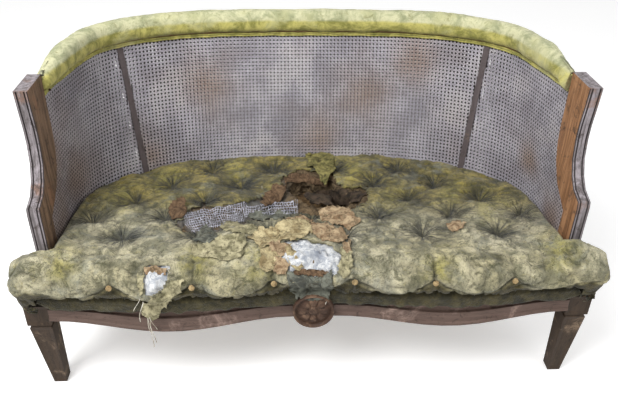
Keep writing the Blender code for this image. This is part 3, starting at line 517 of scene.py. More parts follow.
def cane_finish(name, shaded):
    """Weathered cane: grey-lilac, browner where damp has stained it; on the back layer the faces that turn
    inwards are painted near black, as painted shade between the two layers.
    """
    f = Finish(name, 0.6)
    grey = f.mix(f.patch((0.36, 0.64), 9, 6, 0.7), (168, 164, 172), (204, 200, 208))
    tan = f.mix(f.noise(14, 5, 0.7), (142, 108, 82), (176, 150, 126))
    colour = f.mark(f.mix(f.times(f.attribute("stain"), 0.7), grey, tan), CANE_MARKS)
    if shaded:
        # Painted shade: faces of the back layer that look towards the seat are painted near black, so the
        # holes of the front layer read dark.
        centred = f.new("VectorMath")
        centred.operation = "ADD"
        centred.inputs[1].default_value = (0.0, 0.25 - DEPTH_SHIFT, 0.0)
        f.plug(f.place, centred.inputs[0])
        facing = f.new("VectorMath")
        facing.operation = "DOT_PRODUCT"
        f.plug(centred.outputs["Vector"], facing.inputs[0])
        f.plug(f.new("NewGeometry").outputs["True Normal"], facing.inputs[1])
        dark = f.mix(f.noise(12, 5), (14, 12, 10), (34, 28, 24))
        colour = f.mix(f.step(facing.outputs["Value"], -0.02, 0.02), dark, colour)
    return f.finish(colour, f.noise(500, 3), 0.4, 0.0006)


def wood_finish(name, deep, base, worn, along, wear=0.5):
    """Weathered wood with grain along one axis, scuffs and lighter worn patches."""
    f = Finish(name, 0.62)
    scale = [30.0, 30.0, 30.0]
    scale["xyz".index(along)] = 2.0
    grain = f.noise(3.0, 7, 0.65, 0.3, f.stretched(scale))
    fine = f.noise(16.0, 5, 0.7, vector=f.stretched(scale))
    patches = ((worn, 0.85, (0.62 - 0.2 * wear, 0.74 - 0.15 * wear), (9, 7, 0.7, 0.5), None),)
    colour = f.mark(f.mix(grain, deep, base), patches)
    colour = f.mix(f.times(f.step(fine, 0.52, 0.66), 0.5), colour, deep)
    colour = f.mark(colour, ((deep, 0.7, (0.53, 0.64), (46, 9, 0.8, 0.8), None),))
    return f.finish(colour, f.plus(grain, f.times(fine, 0.5)), 0.5, 0.0012)


def fibre_finish(name, deep, pale, scale, attribute=None, third=None):
    """Loose fibres: cotton, felt and old stuffing."""
    f = Finish(name, 1.0)
    colour = f.mix(f.patch((0.35, 0.65), scale, 8, 0.75, 1.5), deep, pale)
    # The third colour where the attribute says: painted shade on the fibre bed and the front cotton, rust
    # spots on the corner cotton.
    if attribute:
        colour = f.mark(colour, ((third, 1.0, (0.35, 0.6), (scale * 0.6, 6), attribute),))
    height = f.plus(f.noise(scale * 5, 8, 0.8, 2.0), f.noise(scale * 1.5, 6, 0.7))
    return f.finish(colour, height, 0.8, 0.003)


def cloth_finish(name, deep, pale, threads=900.0):
    """Plain woven scrap with frayed, mottled colour."""
    f = Finish(name, 0.95)
    colour = f.mark(f.mix(f.patch((0.35, 0.65), 40, 7, 0.7, 0.6), deep, pale), CLOTH_MARKS)
    weave = f.plus(f.noise(threads, 2), f.times(f.noise(60, 6), 1.5))
    return f.finish(colour, weave, 0.5, 0.0012)


def seat_crown(x, y):
    """Height of the plain seat: it falls towards the back, and its front corners stand up."""
    share = ease((y + 0.36) / 0.62)
    lift = EAR_LIFT * ease((np.abs(x) - 0.58) / 0.12) * ease((-0.18 - y) / 0.10)
    return SEAT_FRONT_TOP + (SEAT_BACK_TOP - SEAT_FRONT_TOP) * share + lift


def tuft_depth(x, y):
    """How far the tufts and the folds between them pull the cover down."""
    front_row = TUFT_BACK_Y - (TUFT_ROWS - 1) * TUFT_PITCH_Y
    across = x / (TUFT_PITCH_X / 2)
    up = (np.clip(y, front_row, TUFT_BACK_Y) - TUFT_BACK_Y) / TUFT_PITCH_Y
    p = np.abs(np.cos(math.pi * (across + up) / 2))
    q = np.abs(np.cos(math.pi * (across - up) / 2))
    folds = 0.7 * FOLD_DEPTH * (1 - np.sqrt(p * q))
    depth = folds + 0.25 * (TUFT_DEPTH - FOLD_DEPTH) * (1 - np.maximum(p, q))
    beyond = np.maximum(np.maximum(front_row - y, y - TUFT_BACK_Y), 0.0)
    fade = ease(beyond / 0.06)
    straight = 1 - np.sqrt(np.abs(np.cos(math.pi * x / TUFT_PITCH_X)))
    return depth * (1 - fade) + 0.55 * PLEAT_DEPTH * straight * fade


def own_plan(points):
    """x, y and z of points, with y as the part's own plan has it."""
    return points[:, 0], points[:, 1] - DEPTH_SHIFT, points[:, 2]


def plan_distance(points, outline):
    """Signed distance in plan to a closed outline, negative inside it."""
    x = points[:, 0]
    y = points[:, 1]
    best = np.full(len(points), 9.0)
    hit = np.zeros(len(points), dtype=bool)
    for (ax, ay), (bx, by) in zip(outline, outline[1:] + outline[:1]):
        dx = bx - ax
        dy = by - ay
        share = np.clip(((x - ax) * dx + (y - ay) * dy) / (dx * dx + dy * dy), 0, 1)
        best = np.minimum(best, np.hypot(x - ax - share * dx, y - ay - share * dy))
        crosses = (ay > y) != (by > y)
        hit ^= crosses & (x < ax + dx * (y - ay) / (dy if dy else 1e-9))
    return np.where(hit, -best, best)


def tuft_places():
    """Plan places of the tufts, with the small drift of a worn seat."""
    drift = np.random.default_rng(5)
    places = []
    for row in range(TUFT_ROWS):
        y = TUFT_BACK_Y - row * TUFT_PITCH_Y
        for column in range(-6, 7):
            x = column * TUFT_PITCH_X / 2
            reach = TUFT_FIRST_REACH + TUFT_REACH_STEP * row
            if (column + row) % 2 and abs(x) < reach:
                places.append((x + drift.uniform(-TUFT_DRIFT_X, TUFT_DRIFT_X),
                               y + drift.uniform(-TUFT_DRIFT_Y, TUFT_DRIFT_Y)))
    return places


def seat_height(x, y):
    """Height of the cover over a place in the part's own plan."""
    return seat_crown(x, y) - tuft_depth(x, y)


def photo_pixels(points):
    """Pixels of the photograph at which places show, and how far each lies before the camera."""
    right, up, forward = [np.array(axis) for axis in camera_axes()]
    seen = points - np.array(CAMERA_AT)
    depth = seen @ forward
    u = PHOTO_SIZE[0] / 2 + LENS_PX * (seen @ right) / depth
    v = PHOTO_SIZE[1] / 2 - LENS_PX * (seen @ up) / depth
    return np.stack((u, v), axis=1), depth


def photo_distance(points, outline):
    """Signed distance in metres to an outline drawn on the photograph, negative inside it."""
    pixels, depth = photo_pixels(points)
    return plan_distance(pixels, outline) * depth / LENS_PX


def pixel_ray(pixel):
    """Direction in which the camera sees a pixel of the photograph."""
    right, up, forward = camera_axes()
    u = (pixel[0] - PHOTO_SIZE[0] / 2) / LENS_PX
    v = (PHOTO_SIZE[1] / 2 - pixel[1]) / LENS_PX
    return forward + right * u + up * v


def on_skin(pixel):
    """Place and outward direction on the dressed seat that a pixel of the photograph shows."""
    ray = pixel_ray(pixel).normalized()
    place, normal, _, _ = seat_skin["tree"].ray_cast(CAMERA_AT, ray)
    if place is None and pixel[1] < SEAT_FOOT_ROW:
        place = on_seat(pixel)
        normal = Vector((0, 0, 1))
    if place is None:
        hem_y = HEM_Y.mean() + DEPTH_SHIFT - HEM_OUT
        place = CAMERA_AT + ray * ((hem_y - CAMERA_AT.y) / ray.y)
        normal = Vector((0, -1, 0))
    if normal.dot(ray) > 0:
        normal = -normal
    return np.array(place), np.array(normal)


def from_tuft(x, y, tuft):
    """Steps across and up from a tuft, and the distance."""
    dx = x - tuft[0]
    dy = (y - tuft[1]) * TUFT_SQUEEZE
    return dx, dy, np.hypot(dx, dy)


def nearest_tuft(points):
    """Direction from the nearest tuft, with a number of its own in the third part, and the distance."""
    best = np.full(len(points), 9.0)
    ray = np.zeros((len(points), 3))
    for number, tuft in enumerate(tuft_places()):
        dx, dy, r = from_tuft(points[:, 0], points[:, 1], tuft)
        closer = r < best
        best[closer] = r[closer]
        length = np.maximum(r, 1e-4)
        way = np.stack((dx / length, dy / length, np.full(len(r), 1.7 * number)), axis=1)
        ray[closer] = way[closer]
    return ray, best


def on_seat(pixel):
    """Place on the seat, in the row frame, that a pixel of the photograph shows."""
    ray = pixel_ray(pixel)
    z = SEAT_FRONT_TOP
    for _ in range(8):
        spot = CAMERA_AT + ray * ((z - CAMERA_AT.z) / ray.z)
        z = float(seat_height(np.array([spot.x]), np.array([spot.y - DEPTH_SHIFT]))[0])
    return spot


def rail_front(x):
    """Front face of the waved front rail at x, in the part's own plan."""
    share = (abs(x) - BOSS_HALF) / (LEG_LOW.x - BOSS_HALF)
    return RAIL_FACE_Y - RAIL_WAVE * math.sin(math.pi * min(1.0, max(0.0, share))) ** 2


HEM_X = np.linspace(0, LEG_LOW.x, 40)
HEM_Y = np.array([rail_front(x) - HEM_GAP for x in HEM_X])


def base_seat():
    """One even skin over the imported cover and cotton, without its underside."""
    bm = bmesh.new()
    for name in ("seat_cover", "cotton_layer"):
        bm.from_mesh(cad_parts[name].data)
    mesh = bpy.data.meshes.new("seat_base")
    bm.to_mesh(mesh)
    bm.free()
    base = bpy.data.objects.new("seat_base", mesh)
    bpy.context.scene.collection.objects.link(base)
    remesh = base.modifiers.new("Even", "REMESH")
    remesh.mode = "VOXEL"
    remesh.voxel_size = EVEN_STEP
    smooth = base.modifiers.new("Ease", "SMOOTH")
    smooth.factor = 0.5
    smooth.iterations = 6
    apply_modifiers(base)
    bm = bmesh.new()
    bm.from_mesh(base.data)
    doomed = [face for face in bm.faces if out_of_sight(face)]
    bmesh.ops.delete(bm, geom=doomed, context="FACES")
    islands = largest_island(bm)
    bmesh.ops.delete(bm, geom=[face for face in bm.faces if face not in islands], context="FACES")
    add_hem(bm)
    bm.to_mesh(base.data)
    bm.free()
    return base


def out_of_sight(face):
    """Whether a face is part of the underside or of the low front that the hem takes over."""
    middle = face.calc_center_median()
    y = middle.y - DEPTH_SHIFT
    behind = y > rail_front(middle.x) + 0.028
    hidden = face.normal.z < -0.35 or y < 0
    hem = y < -0.33 and middle.z < 0.346 and abs(middle.x) < HEM_HALF - 0.01
    return hem or (behind and hidden and middle.z < 0.332 and abs(middle.x) < LEG_LOW.x)


def add_hem(bm):
    """The low edge of the cover: a ragged band that hangs down to the waved front rail."""
    across = 300
    down = 9
    spots = np.linspace(-HEM_HALF, HEM_HALF, across)
    ragged = 0.005 * soft_noise(np.stack((spots, spots * 0, spots * 0), axis=1), 0.02, 95)
    rows = []
    for x, low in zip(spots, HEM_LOW + ragged):
        y = float(np.interp(abs(x), HEM_X, HEM_Y)) + DEPTH_SHIFT
        rows.append([bm.verts.new((x, y + 0.005 * (1 - j / down) ** 2, HEM_TOP + (low - HEM_TOP) * j / down))
                     for j in range(down + 1)])
    for first, second in zip(rows, rows[1:]):
        for j in range(down):
            bm.faces.new((first[j], first[j + 1], second[j + 1], second[j]))


def largest_island(bm):
    """The faces of the largest joined stretch of a mesh."""
    left = set(bm.faces)
    best = set()
    while left:
        start = left.pop()
        group = {start}
        edge = [start]
        while edge:
            face = edge.pop()
            for side in face.edges:
                for other in side.link_faces:
                    if other in left:
                        left.discard(other)
                        group.add(other)
                        edge.append(other)
        if len(group) > len(best):
            best = group
    return best


def wall_distance(x, y):
    """How far a plan place lies from the back and arms, and from the nose."""
    (wall_x, wall_y), _ = Barrel.half_plan(SEAT_BACK_TOP)
    back = np.interp(np.abs(x), wall_x, wall_y) - y
    order = np.argsort(wall_y)
    side = np.interp(y, wall_y[order], wall_x[order]) - np.abs(x)
    wall = np.where(y < ARM_END_Y, FAR_FROM_WALL, np.minimum(back, side))
    to_post = np.hypot(np.maximum(POST_INNER_X - np.abs(x), 0), np.maximum(POST_FRONT_Y - y, 0))
    wall = np.minimum(wall, np.where(y > POST_FRONT_Y - 0.13, to_post, wall))
    return wall, y - NOSE_Y


def border_line(x):
    """Height of the scalloped crease along the front border, highest at its buttons."""
    return BORDER_Z - SCALLOP * np.abs(np.cos(math.pi * x / TUFT_PITCH_X))


def round_ears(points):
    """Slope and round the two ends of the seat that stand out in front of the arms."""
    x, y, z = own_plan(points)
    out = np.clip((np.abs(x) - 0.63) / 0.136, 0, 1.2)
    back = ease((y + 0.42) / 0.12)
    upper = ease((z - 0.355) / 0.09)
    new = points.copy()
    new[:, 2] -= EAR_SLOPE * out ** 2.1 * upper * (0.35 + 0.65 * back)
    new[:, 0] -= np.sign(x) * out ** 2 * (0.022 * back + 0.004 * upper)
    return new


def pleat_rays(x, y, sway, fine):
    """Creases that run out from the tufts, and the pits at the tufts."""
    radial = np.zeros(len(x))
    pits = np.zeros(len(x))
    spin = np.random.default_rng(11)
    for tuft in tuft_places():
        dx, dy, r = from_tuft(x, y, tuft)
        angle = np.arctan2(dy, dx)
        count = int(spin.integers(13, 20))
        reach = spin.uniform(0.040, 0.062)
        wave = np.abs(np.sin(angle * count / 2 + spin.uniform(0, 6.28) + 0.9 * sway + 0.35 * fine))
        wide = np.abs(np.sin(angle * 2.5 + spin.uniform(0, 6.28) + 0.6 * sway))
        line = (1 - wave ** 0.55) * np.exp(-(r / reach) ** 2)
        line = line + 0.8 * (1 - wide ** 0.5) * np.exp(-(r / 0.085) ** 2)
        radial = np.maximum(radial, line * ease(r / 0.006))
        pits = np.maximum(pits, np.exp(-r / PIT_REACH))
    return radial, pits


def drop_hem(points, new, sway, fine, wall, nose):
    """Hang the front border against the rail, and tuck the cover's rear edge down."""
    x, y, z = own_plan(points)
    between_legs = HEM_HALF - np.abs(x)
    hang = ease((0.356 - new[:, 2]) / 0.02) * ease(between_legs / 0.05) * ease((0.075 - nose) / 0.02)
    new[:, 2] -= 0.013 * hang
    hem = np.interp(np.abs(x), HEM_X, HEM_Y) + DEPTH_SHIFT
    flat = ease((0.350 - z) / 0.010) * ease(between_legs / 0.04) * (points[:, 1] < hem + 0.06)
    new[:, 1] += (np.minimum(new[:, 1], hem + 0.002 * sway + 0.001 * fine) - new[:, 1]) * flat
    behind = ease((0.030 - wall) / 0.01) * ease((y + 0.10) / 0.1) * ease((0.365 - z) / 0.02)
    new[:, 2] -= REAR_TUCK * behind


def dress_points(points, normals):
    """Move the even skin to the tufted form, with its folds, pleats and wrinkles; also how dark its creases
    are painted, as painted shade.
    """
    x, y, z = own_plan(points)
    wall, nose = wall_distance(x, y)
    top = ease((wall - 0.004) / 0.022) * ease((nose - 0.030) / 0.035) * ease((normals[:, 2] - 0.2) / 0.4)
    top = top * ease((photo_distance(points, MAIN_TEAR) + 0.004) / 0.01)
    drift = np.stack([soft_noise(points, 0.11, 60 + k) for k in range(3)], axis=1)
    wx, wy, _ = own_plan(points + 0.016 * drift * (1, 1, 0))
    fold = np.clip(tuft_depth(wx, wy) / (0.7 * FOLD_DEPTH), 0, 1) ** 5
    sway = soft_noise(points, 0.045, 90)
    fine = soft_noise(points, 0.016, 91)
    radial, pits = pleat_rays(x, y, sway, fine)
    target = seat_height(wx, wy) - CREASE_DEPTH * radial - PIT_DEPTH * pits
    new = points.copy()
    new[:, 2] = z * (1 - top) + target * top
    below_tuft = np.abs(np.cos(math.pi * x / TUFT_PITCH_X))
    front = ease((0.085 - nose) / 0.03) * ease((HEM_HALF - np.abs(x)) / 0.05)
    above = z - border_line(x) - 0.004 * soft_noise(points, 0.05, 92)
    groove = np.exp(-(above / 0.006) ** 2)
    puff = np.exp(-((above - 0.030) / 0.026) ** 2) * below_tuft ** 0.6
    border = front * (0.005 * puff - 0.010 * groove - 0.006 * ease(-above / 0.012))
    drape = np.stack((x + 0.01 * sway, points[:, 1] * 0.3, z * 0.25), axis=1)
    pleats = (1 - ridges(drape, 0.026, 7)) ** 2 * front
    straight = np.exp(-(below_tuft / 0.055) ** 2) * front * ease(above / 0.01)
    bent = points + 0.012 * np.stack([sway, drift[:, 1], fine * 0.3], axis=1)
    wrinkle = (1 - ridges(bent, 0.040, 22)) ** 3
    small = (1 - ridges(bent, 0.017, 23)) ** 3
    lumps = 0.006 * soft_noise(points, 0.075, 21)
    sag = lumps - 0.008 * wrinkle - 0.003 * small - 0.006 * pleats - 0.003 * straight + border
    new += normals * (sag * ease(wall / 0.02))[:, None]
    new = round_ears(new)
    drop_hem(points, new, sway, fine, wall, nose)
    # Painted shade: how dark the creases, folds, tuft pits, wrinkles and the front border's groove and pleats
    # are painted.
    mark = 0.35 * radial + 0.35 * fold + pits ** 2 + 0.5 * wrinkle ** 1.5 + 0.2 * small
    mark = mark + front * (0.8 * groove + 0.3 * pleats + 0.5 * straight)
    return new, np.clip(mark, 0, 1)


# Marks on the cover: pixel of the photograph and radius
SOIL_SPOTS = (
    (333, 196, 0.05), (176, 240, 0.030), (188, 236, 0.025), (500, 258, 0.018), (300, 205, 0.05),
    (150, 262, 0.02), (445, 229, 0.035), (345, 244, 0.03), (255, 186, 0.04), (270, 170, 0.035),
    (110, 215, 0.02), (225, 192, 0.05), (415, 205, 0.04), (375, 224, 0.04), (98, 232, 0.02),
    (290, 182, 0.04), (470, 200, 0.02), (250, 296, 0.05), (375, 300, 0.05), (215, 308, 0.04),
)
YELLOW_SPOTS = (
    (490, 207, 0.045), (330, 160, 0.05), (165, 180, 0.05), (455, 190, 0.04), (120, 195, 0.05),
    (395, 196, 0.035), (350, 170, 0.04), (235, 168, 0.04), (260, 262, 0.05), (195, 262, 0.04),
    (440, 268, 0.04), (560, 250, 0.05), (60, 265, 0.04),
)


def spread_spots(points, spots):
    """Soft round marks on the seat, placed where the photograph shows them."""
    pixels, depth = photo_pixels(points)
    total = np.zeros(len(points))
    for u, v, radius in spots:
        r = np.hypot(pixels[:, 0] - u, pixels[:, 1] - v) * depth / LENS_PX
        total = np.maximum(total, np.exp(-(r / radius) ** 2))
    return total


def tear_distance(points):
    """Signed distance to the nearest tear, ragged, negative inside."""
    ragged = RAGGED * soft_noise(points, 0.020, 41) + RAGGED_FINE * soft_noise(points, 0.008, 42)
    main = photo_distance(points, MAIN_TEAR) + ragged
    cotton = photo_distance(points, COTTON_TEAR) + ragged
    corner = photo_distance(points, CORNER_TEAR) + 0.5 * ragged
    hidden = points[:, 1] - DEPTH_SHIFT > -0.25
    cotton = np.where(hidden, np.maximum(cotton, 0.05), cotton)
    corner = np.where(hidden, np.maximum(corner, 0.05), corner)
    return main, cotton, corner


def keep_faces(piece, keep):
    """Delete the faces of a piece whose vertices aren't all kept."""
    bm = bmesh.new()
    bm.from_mesh(piece.data)
    doomed = [face for face in bm.faces if not all(keep[v.index] for v in face.verts)]
    bmesh.ops.delete(bm, geom=doomed, context="FACES")
    bm.to_mesh(piece.data)
    bm.free()


def apply_modifiers(piece):
    """Bake a piece's modifiers into its mesh."""
    bpy.ops.object.select_all(action="DESELECT")
    piece.select_set(True)
    bpy.context.view_layer.objects.active = piece
    for modifier in list(piece.modifiers):
        bpy.ops.object.modifier_apply(modifier=modifier.name)


def give_thickness(piece, thickness):
    """Thicken a patch outwards."""
    solid = piece.modifiers.new("Thickness", "SOLIDIFY")
    solid.thickness = thickness
    solid.offset = 1.0
    apply_modifiers(piece)


def turn_edges_down(piece, thickness):
    """Fold the open edges of a skin inwards, so that a tear shows the cloth's thickness."""
    bm = bmesh.new()
    bm.from_mesh(piece.data)
    bm.normal_update()
    rim = [edge for edge in bm.edges if edge.is_boundary]
    new = bmesh.ops.extrude_edge_only(bm, edges=rim)["geom"]
    for vert in [item for item in new if isinstance(item, bmesh.types.BMVert)]:
        linked = [edge.other_vert(vert) for edge in vert.link_edges if not edge.is_boundary]
        inward = linked[0].normal if linked else Vector((0, 0, 1))
        vert.co -= inward * thickness
    bm.to_mesh(piece.data)
    bm.free()


def strand_mesh(lines):
    """Ribbons as one mesh: each line is a pair of point rows, left edge and right edge."""
    points = []
    faces = []
    for left, right in lines:
        start = len(points)
        points.extend(left)
        points.extend(right)
        count = len(left)
        for i in range(count - 1):
            faces.append((start + i, start + i + 1, start + count + i + 1, start + count + i))
    return points, faces


class SetteeSizes(bpy.types.PropertyGroup):
    """Sizes of the fine work that the scene adds."""

    cane_pitch: FloatProperty(name="Cane pitch", description="From hole to hole of the cane", default=0.01111,
                              min=0.006, max=0.03, unit="LENGTH")
    strand_width: FloatProperty(name="Strand width", description="Width of a cane strand", default=0.0015,
                                min=0.0008, max=0.004, unit="LENGTH")
    cover_thickness: FloatProperty(name="Cover thickness", description="Thickness of the torn velvet",
                                   default=0.0022, min=0.0005, max=0.006, unit="LENGTH")
    floor_colour: FloatVectorProperty(name="Floor colour", description="Colour of the floor", subtype="COLOR",
                                      size=3, default=(0.9, 0.9, 0.9), min=0.0, max=1.0)


def sizes():
    return bpy.context.scene.settee_sizes


# How far a strand rises over the ones it crosses, and the way and lift of the two slants
CANE_WEAVE = 0.0006
CANE_SLANTS = ((1, 0.0009), (-1, 0.0012))
BACK_CANE_WIDER = 4.0


def cane_lines(panel, out, weave, width_factor):
    """Edges of every strand in one cane panel: upright and level pairs, and two slants."""
    pitch = sizes().cane_pitch
    half = sizes().strand_width / 2 * width_factor
    low_z = CANE_RAIL_TOP
    high_z = CREST_BOTTOM
    rows = int((high_z - low_z) / pitch)
    lines = []
    fine_z = np.linspace(low_z, high_z, 2 * rows + 1)
    start, stop = barrel.spans(fine_z)[panel]
    reach = (int(start.min() / pitch) - 1, int(stop.max() / pitch) + 2)
    pair = 0.14 * pitch

    def ribbon(run, z, across_run, across_z, lift):
        """One strand, cut where it leaves the panel."""
        inside = (run > np.interp(z, fine_z, start)) & (run < np.interp(z, fine_z, stop))
        inside &= (z >= low_z - 1e-6) & (z <= high_z + 1e-6)
        if inside.sum() < 2:
            return
        ends = np.flatnonzero(np.diff(np.concatenate(([0], inside.astype(int), [0]))))
        for first, last in zip(ends[::2], ends[1::2]):
            if last - first < 2:
                continue
            cut = slice(first, last)
            depth = out + weave * lift[cut]
            left = barrel.at(run[cut] - across_run, z[cut] - across_z, depth)
            right = barrel.at(run[cut] + across_run, z[cut] + across_z, depth)
            lines.append((left, right))

    steps = np.arange(len(fine_z))
    for column in range(reach[0], reach[1]):
        for side in (-1, 1):
            run = np.full(len(fine_z), column * pitch + side * pair)
            ribbon(run, fine_z, half, 0, CANE_WEAVE * ((steps + (side > 0)) % 2))
    columns = np.arange(2 * reach[0], 2 * reach[1]) * pitch / 2
    ticks = np.arange(len(columns))
    for row in range(rows + 1):
        for side in (-1, 1):
            z = np.full(len(columns), low_z + row * pitch + side * pair)
            ribbon(columns, z, 0, half, CANE_WEAVE * ((ticks + (side > 0) + 1) % 2))
    slant = half * 0.72
    for offset in range(reach[0] - rows - 1, reach[1] + rows + 1):
        for way, lift in CANE_SLANTS:
            run = (offset + 0.5) * pitch + way * (fine_z - low_z)
            ribbon(run, fine_z, slant, -way * slant, np.full(len(fine_z), lift))
    return lines


# Damp stains on each cane panel: run, height and radius
STAIN_SPOTS = {
    "left": ((-1.0, 0.40, 0.16), (-0.80, 0.46, 0.10), (-0.95, 0.60, 0.10)),
    "centre": ((-0.30, 0.62, 0.09), (0.20, 0.58, 0.10), (0.05, 0.45, 0.08), (-0.55, 0.42, 0.10),
               (0.35, 0.70, 0.08)),
    "right": ((0.95, 0.42, 0.07), (0.78, 0.50, 0.05)),
}


class SETTEE_OT_cane(bpy.types.Operator):
    """Weave both layers of cane into the three panels"""

    bl_idname = "settee.cane"
    bl_label = "Weave Cane"

    def execute(self, context):
        inner = cane_finish("cane_weathered", False)
        outer = cane_finish("cane_shaded", True)
        for panel in ("left", "centre", "right"):
            points, faces = strand_mesh(cane_lines(panel, CANE_WEAVE, -1.0, 1.0))
            piece = make_piece("cane_weave_" + panel, points, faces, inner, "cane",
                               ["cane_inner_" + panel], smooth=False)
            places = np.array(points)
            stain = np.zeros(len(places))
            for run, z, radius in STAIN_SPOTS[panel]:
                away = np.linalg.norm(places - barrel.at(run, z), axis=1)
                stain = np.maximum(stain, np.exp(-(away / radius) ** 2))
            stain = np.clip(0.85 * stain + 0.2 * soft_noise(places, 0.06, 70), 0, 1)
            set_attribute(piece, "stain", stain)
            lines = cane_lines(panel, FRAME_OUTER + FRAME_INNER, 1.0, BACK_CANE_WIDER)
            points, faces = strand_mesh(lines)
            make_piece("cane_back_" + panel, points, faces, outer, "cane",
                       ["cane_outer_" + panel], smooth=False)
        return {"FINISHED"}


def sweep(runs, section):
    """Closed rings of (out, z) along the barrel, joined and capped."""
    points = []
    faces = []
    count = None
    for run in runs:
        ring = section(run)
        count = len(ring)
        for out, z in ring:
            points.append((run, out, z))
    table = np.array(points)
    base = barrel.at(table[:, 0], np.full(len(table), CREST_BOTTOM), table[:, 1])
    base[:, 2] = table[:, 2]
    for i in range(len(runs) - 1):
        for k in range(count):
            a = i * count + k
            b = i * count + (k + 1) % count
            faces.append((b, a, a + count, b + count))
    faces.append(tuple(range(count)))
    faces.append(tuple(reversed(range((len(runs) - 1) * count, len(runs) * count))))
    return base, faces


# The crest pad's section: overhangs, the run that its ends and its slope take, and the ring's sweep
PAD_INNER = FRAME_INNER - 0.021
PAD_OUTER = FRAME_OUTER + 0.008
PAD_END = 0.016
PAD_SLOPE = 0.17
LOOSE_END = 0.045
PAD_CLEAR = 0.001
RING_POINTS = 32
RING_START = -62
RING_SWEEP = 304
WELT_RADIUS = 0.0031
WELT_FIRST = 0.0032
WELT_STEP = 0.0058
TACK_RADIUS = 0.0035


def pad_section(run, start, stop):
    """Ring of the crest pad: full inner face, crowned top, rounded ends."""
    low = PAD_LOW.z + PAD_CLEAR
    middle = (PAD_INNER + PAD_OUTER) / 2
    half = (PAD_OUTER - PAD_INNER) / 2
    tall = PAD_HIGH.z - low - PAD_CLEAR
    near_end = min(run - start, stop - run)
    tuck = math.sqrt(max(0.0, 1 - (1 - min(1.0, max(near_end, 0) / PAD_END)) ** 2))
    right = max(0.0, 1 - (stop - run) / LOOSE_END)
    slope = float(ease((PAD_SLOPE - near_end) / PAD_SLOPE))
    ring = []
    for k in range(RING_POINTS):
        angle = math.radians(RING_START + RING_SWEEP * k / (RING_POINTS - 1))
        across = -math.cos(angle)
        rise = math.sin(angle)
        square = abs(across) ** 0.72 * (1 if across > 0 else -1)
        out = middle + half * square
        z = low + tall * (0.42 + 0.58 * (abs(rise) ** 0.85) * (1 if rise > 0 else -0.72))
        z = max(z, low - 0.002)
        out = middle + (out - middle) * (0.55 + 0.45 * tuck)
        z = low + (z - low) * (0.78 + 0.22 * tuck) * (1 - 0.34 * slope)
        if across > 0:
            out -= 0.020 * slope
        if across < 0 and rise < 0.1:
            z -= 0.006 * right
            out -= 0.008 * right
        ring.append((out, z))
    return ring


class SETTEE_OT_crest(bpy.types.Operator):
    """Make the crest pad with its double welts, its nail and its loose right end"""

    bl_idname = "settee.crest"
    bl_label = "Pad Crest"

    def execute(self, context):
        velvet = crest_finish()
        end = float(barrel.length(CREST_BOTTOM)) + PLAN_CENTRE_Y - POST_REAR_Y
        runs = np.linspace(-end + 0.001, end - 0.001, 420)
        points, faces = sweep(runs, lambda run: pad_section(run, -end, end))
        pad = make_piece("crest_padding", points, faces, velvet, "crest_velvet", ["crest_pad"])
        normals = get_normals(pad)
        points = get_points(pad)
        lumps = 0.0022 * soft_noise(points, 0.06, 51) - 0.0016 * (1 - ridges(points, 0.03, 52)) ** 2
        lumps -= 0.0007 * (1 - ridges(points, 0.012, 53)) ** 2
        points = points + normals * lumps[:, None]
        set_points(pad, points)
        set_attribute(pad, "top", ease((points[:, 2] - PAD_LOW.z - 0.030) / 0.022))
        self.add_welts("inner", FRAME_INNER, -1, "crest_welt_inner", velvet, runs)
        self.add_welts("outer", FRAME_OUTER, 1, "crest_welt_outer", velvet, runs)
        self.add_nail()
        return {"FINISHED"}

    def add_welts(self, name, face, way, node, velvet, runs):
        """Two cords side by side, as one piece."""
        all_points = []
        all_faces = []
        for level in (0, 1):
            z = CREST_BOTTOM + WELT_FIRST + level * WELT_STEP

            def ring(run, z=z):
                wander = 0.0006 * math.sin(run * 47 + z * 900) + 0.0005 * math.sin(run * 113)
                out = face + way * (WELT_RADIUS * 0.7)
                return [(out + way * WELT_RADIUS * math.cos(a), z + wander + WELT_RADIUS * math.sin(a))
                        for a in np.linspace(0, 2 * math.pi, 9)[:-1] * way]

            points, faces = sweep(runs[::2], ring)
            start = len(all_points)
            all_points.extend(points)
            all_faces.extend([tuple(i + start for i in f) for f in faces])
        piece = make_piece("double_welt_" + name, all_points, all_faces, velvet, "crest_velvet", [node])
        set_attribute(piece, "top", np.zeros(len(all_points)))

    def add_nail(self):
        """Tack at the left end of the pad, its head just proud of the velvet."""
        end = float(barrel.post(CREST_BOTTOM)) - 0.022
        spot = Vector(barrel.at(-end, CREST_BOTTOM + 0.006, -0.010))
        bpy.ops.object.select_all(action="DESELECT")
        bpy.ops.mesh.primitive_uv_sphere_add(segments=16, ring_count=8, radius=TACK_RADIUS, location=spot)
        nail = bpy.context.object
        nail.name = "crest_tack"
        nail.data.transform(Matrix.Translation(spot))
        nail.location = (0, 0, 0)
        rust = wood_finish("tack_rust", (40, 30, 26), (60, 44, 36), (84, 62, 48), "z")
        nail.data.materials.append(rust)
        nail.data.shade_smooth()
        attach(nail, BODY)


